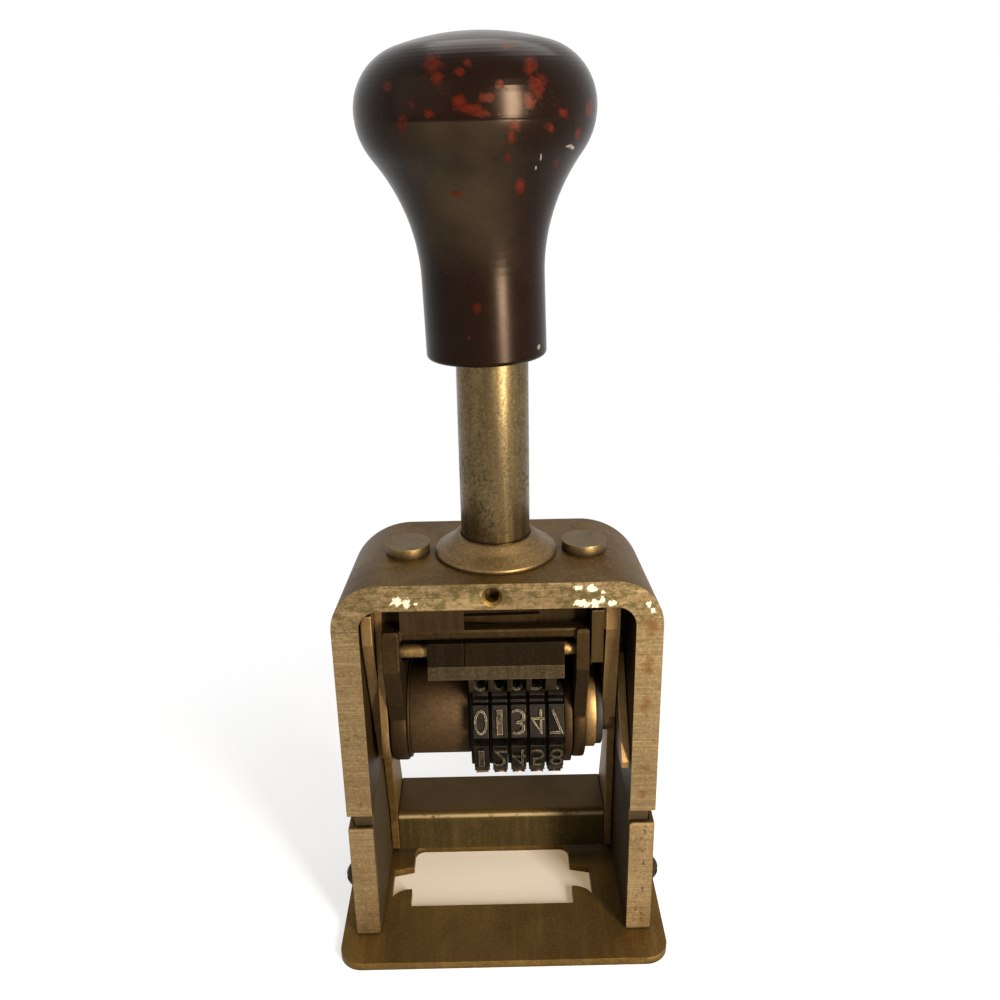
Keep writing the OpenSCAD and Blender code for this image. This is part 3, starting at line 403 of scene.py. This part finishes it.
def stem_extra(tree, place, tone, roughness):
    """Dark pitting all over the stem, thickest towards its lower half."""
    height = component(tree, place, "Z")
    low = between(tree, height, *STEM_PITTED_Z)
    pits = between(tree, noise(tree, place, 1500, 6, 0.72), 0.49, 0.57)
    patches = between(tree, noise(tree, place, 260, 5, 0.7), 0.42, 0.58)
    amount = product(tree, pits, plus(tree, product(tree, patches, 0.75), 0.25),
                     plus(tree, product(tree, low, 0.50), 0.50))
    tone = mix(tree, amount, tone, GREASE)
    streaks = between(tree, noise(tree, stretched(tree, place, (420, 420, 35)), 1.0, 3, 0.6), 0.45, 0.70)
    tone = mix(tree, product(tree, streaks, 0.35), tone, (0.075, 0.046, 0.020))
    return tone, plus(tree, roughness, product(tree, amount, 0.25))


def tray_extra(tree, place, tone, roughness):
    """A painted highlight along the channel's bend, and a top darkened with painted shade."""
    off = size_of(tree, less(tree, component(tree, place, "Z"), TRAY_BEND_Z))
    # Painted highlight: a pale broken line along the bend of the channel.
    bend_highlight = product(tree, between(tree, off, 0.42 * MM, 0.15 * MM),
                   between(tree, component(tree, place, "Y"), *TRAY_FRONT_Y),
                   between(tree, noise(tree, place, 500, 4), 0.30, 0.50), 0.60)
    # Painted shade: the upward faces of the channel darkened.
    shaded_top = facing(tree, "Z", *UPWARD_FACING)
    tone = mix(tree, product(tree, shaded_top, 0.80), tone, (0.032, 0.017, 0.0035))
    return mix(tree, bend_highlight, tone, (0.22, 0.16, 0.08)), roughness


# ---- Knob ----

KNOB_BLACK = (0.0026, 0.0009, 0.0004)
# The satin part's tone, lighter than the lacquer, is partly a satin haze and partly a painted sheen.
KNOB_SATIN_SHEEN = (0.0125, 0.0085, 0.0050)
KNOB_RED = (0.032, 0.0022, 0.0005)
LACQUER_IOR = 1.21
LACQUER_TINT = (1.0, 0.70, 0.50, 1.0)
KNOB_PATCHES = (
    ((-0.0075, -0.0165, 0.1592), (1.9 * MM, 3 * MM, 2.0 * MM)),
    ((-0.0068, -0.0172, 0.1572), (1.2 * MM, 3 * MM, 1.2 * MM)),
    ((-0.0036, -0.0179, 0.1578), (1.1 * MM, 3 * MM, 0.7 * MM)),
    ((-0.0026, -0.0177, 0.1590), (0.9 * MM, 3 * MM, 0.7 * MM)),
    ((0.0030, -0.0148, 0.1613), (1.9 * MM, 3 * MM, 0.8 * MM)),
    ((0.0063, -0.0158, 0.1585), (1.3 * MM, 3 * MM, 1.8 * MM)),
    ((0.0072, -0.0163, 0.1560), (1.5 * MM, 3 * MM, 2.4 * MM)),
    ((0.0062, -0.0172, 0.1538), (1.4 * MM, 3 * MM, 1.4 * MM)),
    ((0.0020, -0.0186, 0.1562), (0.7 * MM, 3 * MM, 0.8 * MM)),
    ((-0.0023, -0.0191, 0.1530), (2.6 * MM, 3 * MM, 0.8 * MM)),
    ((-0.0008, -0.0190, 0.1524), (1.6 * MM, 3 * MM, 0.6 * MM)),
    ((-0.0038, -0.0190, 0.1540), (1.2 * MM, 3 * MM, 1.1 * MM)),
    ((0.0000, -0.0190, 0.1544), (1.4 * MM, 3 * MM, 0.8 * MM)),
    ((-0.0081, -0.0180, 0.1524), (0.9 * MM, 3 * MM, 0.8 * MM)),
    ((-0.0142, -0.0139, 0.1562), (1.0 * MM, 3 * MM, 1.0 * MM)),
    ((-0.0121, -0.0159, 0.1514), (1.0 * MM, 3 * MM, 1.6 * MM)),
    ((0.0040, -0.0180, 0.1508), (1.0 * MM, 3 * MM, 1.0 * MM)),
    ((0.0034, -0.0177, 0.1493), (0.8 * MM, 3 * MM, 1.4 * MM)),
    ((0.0029, -0.0161, 0.1464), (0.5 * MM, 3 * MM, 0.7 * MM)),
    ((0.0047, -0.0126, 0.1423), (1.0 * MM, 3 * MM, 1.6 * MM)),
    ((0.0110, -0.0141, 0.1524), (0.9 * MM, 3 * MM, 0.9 * MM)),
    ((0.0092, -0.0150, 0.1504), (0.8 * MM, 3 * MM, 1.0 * MM)),
    ((0.0153, -0.0085, 0.1528), (1.4 * MM, 3 * MM, 1.5 * MM)),
    ((0.0135, -0.0099, 0.1495), (0.8 * MM, 3 * MM, 1.3 * MM)),
    ((-0.0047, -0.0133, 0.1414), (1.4 * MM, 3 * MM, 0.4 * MM)),
)
KNOB_FAINT = (
    ((0.0102, -0.0106, 0.1454), (0.8 * MM, 3 * MM, 0.8 * MM)),
    ((-0.0022, -0.0102, 0.1239), (0.9 * MM, 3 * MM, 1.4 * MM)),
    ((-0.0036, -0.0099, 0.1191), (0.4 * MM, 3 * MM, 0.4 * MM)),
    ((-0.0160, -0.0080, 0.1540), (1.5 * MM, 3 * MM, 1.2 * MM)),
    ((0.0165, 0.0040, 0.1530), (1.6 * MM, 3 * MM, 2.2 * MM)),
    ((0.0040, 0.0175, 0.1550), (2.4 * MM, 3 * MM, 1.6 * MM)),
    ((-0.0100, 0.0150, 0.1520), (1.8 * MM, 3 * MM, 1.2 * MM)),
    ((-0.0175, 0.0020, 0.1560), (1.2 * MM, 3 * MM, 2.0 * MM)),
)
KNOB_SCUFFS = (
    ((0.0122, -0.0102, 0.1477), (0.7 * MM, 2 * MM, 0.25 * MM)),
    ((0.0128, -0.0102, 0.1474), (0.4 * MM, 2 * MM, 0.3 * MM)),
    ((0.0078, -0.0053, 0.1164), (0.3 * MM, 2 * MM, 0.5 * MM)),
    ((0.0078, -0.0137, 0.1463), (0.15 * MM, 2 * MM, 0.5 * MM)),
    ((0.0071, -0.0129, 0.1448), (0.15 * MM, 2 * MM, 0.4 * MM)),
)


def knob_material():
    """Black lacquer rubbed through to red, glossy above the seam and satin below it, with a painted sheen on
    the satin part's front left.
    """
    material, tree = new_material("worn_lacquer")
    place = object_place(tree)
    height = component(tree, place, "Z")
    cap = between(tree, height, KNOB_SEAM_Z - 0.2 * MM, KNOB_SEAM_Z + 0.2 * MM)
    cloudy = between(tree, noise(tree, place, 120, 5, 0.6), 0.35, 0.68)
    # Painted sheen: the satin tone fades to black away from a band left of centre and down the neck.
    satin = mix(tree, cloudy, KNOB_SATIN_SHEEN, scaled(KNOB_SATIN_SHEEN, 0.55))
    from_sheen_centre = size_of(tree, plus(tree, component(tree, place, "X"), KNOB_SHEEN_LEFT_OFFSET))
    dark = highest(tree, between(tree, height, *KNOB_SHEEN_FADE_Z), between(tree, from_sheen_centre, 0.002, 0.013))
    satin = mix(tree, dark, satin, KNOB_BLACK)
    tone = mix(tree, cap, satin, KNOB_BLACK)
    patches = ragged_spots(tree, place, KNOB_PATCHES, 3.0, 0.20, 800)
    faint = product(tree, ragged_spots(tree, place, KNOB_FAINT, 2.6, 0.3, 620), 0.45)
    flecks = between(tree, noise(tree, place, 420, 6, 0.75), 0.60, 0.66)
    band = between(tree, size_of(tree, less(tree, height, KNOB_WIDEST_Z)), 6 * MM, 1 * MM)
    flecks = product(tree, flecks, plus(tree, product(tree, band, 0.45), 0.05))
    red = highest(tree, highest(tree, patches, faint), flecks)
    shade = between(tree, noise(tree, place, 800, 4, 0.7), 0.30, 0.62)
    red_tone = mix(tree, shade, scaled(KNOB_RED, 0.45, 0.5, 0.6), scaled(KNOB_RED, 1.3, 1.6, 1.7))
    tone = mix(tree, product(tree, red, 0.92), tone, red_tone)
    seam_near = size_of(tree, less(tree, height, KNOB_SEAM_Z))
    seam = between(tree, seam_near, 0.22 * MM, 0.06 * MM)
    tone = mix(tree, product(tree, seam, 0.75), tone, (0.003, 0.0015, 0.001))
    dust = between(tree, noise(tree, place, 2300, 4, 0.75), 0.66, 0.74)
    tone = mix(tree, product(tree, dust, 0.12), tone, (0.20, 0.17, 0.12))
    scuffs = ragged_spots(tree, place, KNOB_SCUFFS, 1.6, 0.7, 1600)
    tone = mix(tree, product(tree, scuffs, 0.60), tone, (0.14, 0.12, 0.095))
    haze = noise(tree, place, 300, 5, 0.65)
    roughness = plus(tree, product(tree, haze, 0.14), 0.15)
    roughness = plus(tree, roughness, product(tree, less(tree, 1.0, cap), 0.05))
    roughness = plus(tree, roughness, product(tree, red, 0.08))
    relief = less(tree, product(tree, haze, 0.3), product(tree, red, 0.7))
    relief = less(tree, relief, seam)
    bump = add(tree, "Bump", None, Strength=0.30, Distance=0.06 * MM, Height=relief)
    shader = add(tree, "BsdfPrincipled", None, Base_Color=tone, Roughness=roughness, IOR=LACQUER_IOR,
                 Specular_Tint=LACQUER_TINT, Normal=bump.outputs[0])
    finish_material(tree, shader)
    return material


def type_material(name, low, high, rubbed, rub):
    """Inky type metal with its corners rubbed bright, and its recesses darkened with ink and painted shade.
    """
    material, tree = new_material(name)
    place = object_place(tree)
    cloudy = between(tree, noise(tree, place, 420, 5, 0.65), 0.36, 0.66)
    tone = mix(tree, cloudy, low, high)
    grain = between(tree, noise(tree, place, 2100, 4, 0.75), 0.52, 0.70)
    tone = mix(tree, product(tree, grain, 0.40), tone, scaled(high, 2.0))
    patchy = between(tree, noise(tree, place, 380, 3), 0.30, 0.56)
    edges = product(tree, worn_edges(tree, TYPE_WORN_RADIUS), patchy, rub)
    tone = mix(tree, edges, tone, rubbed)
    # Ink and painted shade: recesses of the type darkened by the occlusion mask.
    tone = mix(tree, product(tree, crevices(tree, INK_AND_SHADE_REACH), 0.90), tone, (0.006, 0.004, 0.002))
    bump = add(tree, "Bump", None, Strength=0.45, Distance=0.04 * MM, Height=grain)
    roughness = plus(tree, product(tree, cloudy, 0.15), 0.44)
    shader = add(tree, "BsdfPrincipled", None, Base_Color=tone, Roughness=roughness, Metallic=0.85,
                 Normal=bump.outputs[0])
    finish_material(tree, shader)
    return material


def fibre_material():
    material, tree = new_material("oiled_fibre")
    place = object_place(tree)
    streaks = noise(tree, stretched(tree, place, (1, 1, 6)), 700, 4)
    tone = mix(tree, streaks, (0.020, 0.012, 0.006), (0.055, 0.032, 0.016))
    bump = add(tree, "Bump", None, Strength=0.5, Distance=0.05 * MM, Height=streaks)
    shader = add(tree, "BsdfPrincipled", None, Base_Color=tone, Roughness=0.8, Normal=bump.outputs[0])
    finish_material(tree, shader)
    return material


# ---- Materials and bevels of the CAD nodes ----


def make_materials():
    return {
        "arch": metal("nickel_arch", (0.082, 0.046, 0.0110), 0.52, extra=arch_extra, wear=0.45,
                      blotch_scale=70, grain_amount=0.75),
        "foot": metal("nickel_foot", (0.080, 0.048, 0.0170), 0.50, extra=foot_extra, wear=0.45),
        "base": metal("nickel_base", (0.102, 0.058, 0.0145), 0.55, blotch_scale=60, blotch=0.60,
                      grain_amount=0.60, wear=0.45, brush=(420, 40, 420)),
        "tray": metal("channel_sheet", (0.050, 0.033, 0.0100), 0.55, blotch_scale=80, grain_amount=0.55,
                      extra=tray_extra, wear=0.3),
        "collar": metal("nickel_collar", (0.125, 0.079, 0.0310), 0.42, wear=0.8, grain_amount=0.7,
                        brush=(60, 60, 3000)),
        "stem": metal("nickel_stem", (0.122, 0.086, 0.0380), 0.28, extra=stem_extra, wear=0.2,
                      grain_amount=0.8, brush=(900, 900, 40)),
        "screw": metal("screw_steel", (0.095, 0.062, 0.025), 0.45, wear=0.7),
        "dark": metal("dark_steel", (0.024, 0.0135, 0.0050), 0.55, wear=0.35, speck=0.2),
        # Painted shade: near black, for the parts at the back that stand in the dark gaps.
        "black": metal("shade_black_steel", (0.0095, 0.0060, 0.0030), 0.60, wear=0.1, metallic=0.5),
        "block": metal("greasy_steel", (0.0098, 0.0052, 0.0014), 0.50, wear=0.35, grain_amount=0.85,
                       speck=0.5),
        "arm": metal("oiled_steel", (0.145, 0.086, 0.0315), 0.50, wear=0.50, blotch=0.45),
        "bar": metal("bail_steel", (0.022, 0.0120, 0.0034), 0.52, wear=0.55, grain_amount=0.70),
        "lug": metal("lug_steel", (0.034, 0.0195, 0.0060), 0.50, wear=0.45),
        "comb": metal("comb_steel", (0.037, 0.026, 0.0125), 0.50, grain_amount=0.85, wear=0.75),
        "drum": metal("drum_steel", (0.032, 0.0155, 0.0030), 0.62, wear=0.2, grain_amount=0.80,
                      metallic=0.8, brush=(60, 500, 500)),
        "spring": metal("spring_steel", (0.110, 0.085, 0.050), 0.40),
        "knob": knob_material(),
        "type": type_material("inked_type", low=(0.002, 0.0012, 0.0004), high=(0.007, 0.0040, 0.0012),
                              rubbed=(0.05, 0.033, 0.014), rub=0.5),
        "figure": type_material("rubbed_figures", low=(0.012, 0.008, 0.0035), high=(0.040, 0.028, 0.0130),
                                rubbed=(0.42, 0.35, 0.23), rub=0.85),
        "fibre": fibre_material(),
    }


NODE_LOOKS = {
    "foot": ["left_foot", "right_foot"],
    "base": ["base_plate", "left_carrier_arm"],
    "tray": ["pad_tray"],
    "collar": ["collar"],
    "stem": ["stem_tube"],
    "screw": ["left_top_screw", "right_top_screw", "key_screw", "carrier_pivots", "stem_pin", "stem_plug",
              "spring_seat", "arm_screws"],
    "dark": ["side_screws", "base_screws", "side_disc", "left_bracket", "left_washer", "carriage_head"],
    # These parts at the back get the near-black look that stands in for shade.
    "black": ["back_plate", "detent_comb", "right_washer", "detent_rod"],
    "block": ["rod_sleeve", "pawl_block"],
    "arm": ["left_arm", "cam_rib", "right_arm", "bail_crank", "wheel_axle", "pawl_rod", "right_carrier_arm"],
    "bar": ["feed_bail", "leaf_spring"],
    "lug": ["stop_lug"],
    "comb": ["pawl_comb"],
    "drum": ["spacer_drum"],
    "knob": ["knob"],
    "type": ["type_wheel_%d" % (i + 1) for i in range(WHEELS)],
    "fibre": ["bumper_washer"],
}

BEVELS = {
    "left_foot": 0.35, "right_foot": 0.35, "base_plate": 0.35, "collar": 0.15,
    "knob": 0.0, "pawl_comb": 0.08, "detent_comb": 0.08, "pad_tray": 0.2,
    "left_top_screw": 0.3, "right_top_screw": 0.3, "feed_bail": 0.5, "stop_lug": 0.2,
}
ARCH_BEVEL = 0.45
ARCH_CORNER = 8.6 * MM
ARCH_REAR_CORNER = 12.6 * MM
ON_EDGE = 0.01 * MM
ON_CORNER = 0.05 * MM
AT_BACK = 0.1 * MM
PLAIN_BEVEL = 0.15
WHEEL_BEVEL = 0.12
WELD_DISTANCE = 0.002 * MM
SHARP_EDGE = math.radians(35)
SMOOTH_BELOW = math.radians(30)
FLAT_WITHIN = math.radians(0.05)


def round_edges(obj, width):
    """Rounds sharp edges with modifiers, so that the mesh itself stays as it is."""
    weld = obj.modifiers.new("weld", "WELD")
    weld.merge_threshold = WELD_DISTANCE
    bevel = obj.modifiers.new("round_edges", "BEVEL")
    bevel.width = width
    bevel.segments = 2
    bevel.limit_method = "ANGLE"
    bevel.angle_limit = SHARP_EDGE
    bevel.use_clamp_overlap = True


def dress_node(name, node, material):
    """Gives a node its material and its round edges."""
    node.data.materials.clear()
    node.data.materials.append(material)
    width = BEVELS.get(name, WHEEL_BEVEL if name.startswith("type_wheel") else PLAIN_BEVEL)
    if width:
        round_edges(node, width * MM)


def round_rear_corners(build, left_x, high):
    """Opens the arch's outer corners towards its back, where they are rounder than in front."""
    centre_x = -left_x - ARCH_CORNER
    centre_z = high.z - ARCH_CORNER
    grow = ARCH_REAR_CORNER - ARCH_CORNER
    for vert in build.verts:
        out, up = abs(vert.co.x) - centre_x, vert.co.z - centre_z
        off_corner = abs(math.hypot(out, up) - ARCH_CORNER)
        on_corner = min(out, up) > -ON_EDGE and off_corner < ON_CORNER
        if on_corner and vert.co.y > high.y - AT_BACK:
            side = math.copysign(1, vert.co.x)
            vert.co.x = side * (centre_x - grow + out * ARCH_REAR_CORNER / ARCH_CORNER)
            vert.co.z = centre_z - grow + up * ARCH_REAR_CORNER / ARCH_CORNER


def make_arch(frame, material):
    """One arch from the nodes of its top and legs, with no seam where they meet."""
    build = bmesh.new()
    for name in ARCH_NODES:
        build.from_mesh(frame["nodes"][name].data)
    bmesh.ops.remove_doubles(build, verts=build.verts, dist=WELD_DISTANCE)
    split_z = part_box("left_leg")[1].z
    inside = [f for f in build.faces if all(abs(v.co.z - split_z) < 5 * WELD_DISTANCE for v in f.verts)]
    bmesh.ops.delete(build, geom=inside, context="FACES")
    bmesh.ops.dissolve_limit(build, angle_limit=FLAT_WITHIN, verts=build.verts, edges=build.edges)
    round_rear_corners(build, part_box("left_leg")[0].x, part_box("arch_top")[1])
    bmesh.ops.recalc_face_normals(build, faces=build.faces)
    mesh = bpy.data.meshes.new("arch_body")
    build.to_mesh(mesh)
    build.free()
    arch = link_object("arch_body", mesh)
    mesh.materials.append(material)
    for polygon in mesh.polygons:
        polygon.use_smooth = True
    mesh.set_sharp_from_angle(angle=SMOOTH_BELOW)
    round_edges(arch, ARCH_BEVEL * MM)
    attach(arch, "frame")
    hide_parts(*ARCH_NODES)


def make_spring(frame, material):
    """A copy of the return spring, which sits inside the stem, on the frame body with a mesh of its own."""
    mesh = frame["nodes"]["return_spring"].data.copy()
    mesh.materials.clear()
    mesh.materials.append(material)
    spring = link_object("spring_coil", mesh)
    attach(spring, "frame")
    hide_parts("return_spring")
    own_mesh(spring)


# ---- Figures on the type wheels ----


def digit_mesh(digit):
    """A flat figure, centred, of the type's height and width, extruded along Z."""
    text = bpy.data.curves.new("figure", "FONT")
    text.body = str(digit)
    text.align_x = "CENTER"
    text.align_y = "CENTER"
    text.size = 1.0
    text.offset = FIGURE_THINNING
    text.extrude = 0.5
    text.resolution_u = 4
    obj = link_object("figure", text)
    bpy.context.view_layer.update()
    mesh = bpy.data.meshes.new_from_object(obj.evaluated_get(bpy.context.evaluated_depsgraph_get()))
    bpy.data.objects.remove(obj)
    xs = [v.co.x for v in mesh.vertices]
    ys = [v.co.y for v in mesh.vertices]
    centre = Vector(((min(xs) + max(xs)) / 2, (min(ys) + max(ys)) / 2, 0))
    narrow = NARROW_FIGURE if digit == 1 else 1.0
    sizes = (narrow * FIGURE_WIDTH / (max(xs) - min(xs)), FIGURE_HEIGHT / (max(ys) - min(ys)),
             FIGURE_RELIEF + FIGURE_SINK)
    mesh.transform(Matrix.Diagonal((*sizes, 1)) @ Matrix.Translation(-centre))
    return mesh


def make_figures(material):
    digit_meshes = [digit_mesh(digit) for digit in range(DIGITS)]
    for i in range(WHEELS):
        low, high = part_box("type_wheel_%d" % (i + 1))
        type_right = high[0]
        type_left = type_right - TYPE_WIDTH
        face_r = AXLE_Z - low[2]
        build = bmesh.new()
        for k in range(DIGITS):
            digit = (FRONT_ROW[i] + FRONT_ROW_FACET - k) % DIGITS
            angle = TYPE_STEP * k
            out = Vector((0, -math.sin(angle), -math.cos(angle)))
            up = Vector((0, math.cos(angle), -math.sin(angle)))
            centre_r = face_r + (FIGURE_RELIEF - FIGURE_SINK) / 2
            at = Vector(((type_left + type_right) / 2, 0, AXLE_Z)) + centre_r * out
            side = Vector((1, 0, 0))
            turn = Matrix((side, up, out)).transposed().to_4x4()
            mesh = digit_meshes[digit].copy()
            mesh.transform(Matrix.Translation(at) @ turn)
            mesh.flip_normals()  # the turn mirrors the figure, as on type
            build.from_mesh(mesh)
            bpy.data.meshes.remove(mesh)
        mesh = bpy.data.meshes.new("figures_%d" % (i + 1))
        build.to_mesh(mesh)
        build.free()
        obj = link_object("figures_%d" % (i + 1), mesh)
        mesh.materials.append(material)
        round_edges(obj, FIGURE_BEVEL)
        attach(obj, "wheel_%d" % (i + 1))
    for mesh in digit_meshes:
        bpy.data.meshes.remove(mesh)


# ---- Stage, lights, camera ----

STAGE_HALF = 3.0
FLOOR_COLOUR = (0.86, 0.83, 0.78)
FLOOR_GLOW_NEAR = 0.68
FLOOR_GLOW_REACH = (0.03, 0.14)
UNDER_BASE = (0.027, 0.018)
PAPER_IN_SHADE = (0.40, 0.27, 0.13)


def seen_directly(tree):
    """1 for the rays that show the background: from the camera, reflected or passed on."""
    path = add(tree, "LightPath")
    seen = highest(tree, path.outputs["Is Camera Ray"], path.outputs["Is Glossy Ray"])
    return highest(tree, seen, path.outputs["Is Transmission Ray"])


def make_stage():
    mesh = bpy.data.meshes.new("floor")
    half = STAGE_HALF
    corners = [(-half, -half, 0), (half, -half, 0), (half, half, 0), (-half, half, 0)]
    mesh.from_pydata(corners, [], [(0, 1, 2, 3)])
    floor = link_object("floor", mesh)
    material, tree = new_material("pale_floor")
    seen = seen_directly(tree)
    place = object_place(tree)
    far = distance_to(tree, place, (0, 0, 0))
    glow = between(tree, far, *FLOOR_GLOW_REACH)
    glow = plus(tree, product(tree, glow, 1 - FLOOR_GLOW_NEAR), FLOOR_GLOW_NEAR)
    diffuse = add(tree, "BsdfDiffuse", None, Color=FLOOR_COLOUR)
    sides = (size_of(tree, component(tree, place, axis)) for axis in "XY")
    inset = highest(tree, *(maths(tree, "DIVIDE", side, half) for side, half in zip(sides, UNDER_BASE)))
    # Painted shade: under the base the floor glows the colour of paper in shade.
    paper = mix(tree, between(tree, inset, 1.0, 1.1), PAPER_IN_SHADE, (1, 1, 1))
    emission = add(tree, "Emission", None, Color=paper)
    blend = add(tree, "MixShader")
    connect(tree, blend.inputs[0], product(tree, seen, glow))
    tree.links.new(diffuse.outputs[0], blend.inputs[1])
    tree.links.new(emission.outputs[0], blend.inputs[2])
    finish_material(tree, blend)
    mesh.materials.append(material)


AMBIENT = 0.34
LAMP_TARGET = Vector((0, 0, 0.09))
LAMPS = (
    ("key_right", (0.28, -0.42, 0.20), (0.11, 0.42), 13.0, (1.0, 0.93, 0.82)),
    ("fill_left", (-0.45, -0.35, 0.35), (0.60, 0.60), 1.0, (1.0, 0.97, 0.92)),
    ("top_back", (0.05, 0.20, 0.55), (0.40, 0.30), 1.0, (1.0, 0.98, 0.95)),
)


def make_world():
    world = bpy.data.worlds.new("studio")
    bpy.context.scene.world = world
    world.use_nodes = True
    tree = world.node_tree
    tree.nodes.clear()
    seen = seen_directly(tree)
    strength = plus(tree, product(tree, seen, 1 - AMBIENT), AMBIENT)
    background = add(tree, "Background", None, Color=(1, 1, 1), Strength=strength)
    output = add(tree, "OutputWorld")
    tree.links.new(background.outputs[0], output.inputs["Surface"])


def make_light(name, at, size, power, colour):
    light = bpy.data.lights.new(name, "AREA")
    light.shape = "RECTANGLE"
    light.size, light.size_y = size
    light.energy = power
    light.color = colour
    obj = link_object(name, light)
    obj.location = at
    obj.rotation_euler = (LAMP_TARGET - Vector(at)).to_track_quat("-Z", "Y").to_euler()


def make_lights():
    for lamp in LAMPS:
        make_light(*lamp)


def make_camera():
    pitch, yaw, roll = CAMERA_PITCH, CAMERA_YAW, CAMERA_ROLL
    forward = Vector((math.cos(pitch) * math.sin(yaw), math.cos(pitch) * math.cos(yaw), -math.sin(pitch)))
    right_level = Vector((math.cos(yaw), -math.sin(yaw), 0))
    up_level = right_level.cross(forward)
    right = math.cos(roll) * right_level - math.sin(roll) * up_level
    up = math.sin(roll) * right_level + math.cos(roll) * up_level
    data = bpy.data.cameras.new("camera")
    data.sensor_width = SENSOR_MM
    data.lens = SENSOR_MM * FOCAL_PX / IMAGE_PX
    data.clip_start = CAMERA_CLIP_START
    camera = link_object("camera", data)
    camera.matrix_world = Matrix.Translation(CAMERA_AT) @ Matrix((right, up, -forward)).transposed().to_4x4()
    bpy.context.scene.camera = camera


def main():
    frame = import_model()
    make_camera()
    looks = make_materials()
    for look, names in NODE_LOOKS.items():
        for name in names:
            dress_node(name, frame["nodes"][name], looks[look])
    make_arch(frame, looks["arch"])
    make_figures(looks["figure"])
    make_spring(frame, looks["spring"])
    make_stage()
    make_world()
    make_lights()
    bpy.context.scene.view_settings.view_transform = "Standard"


main()
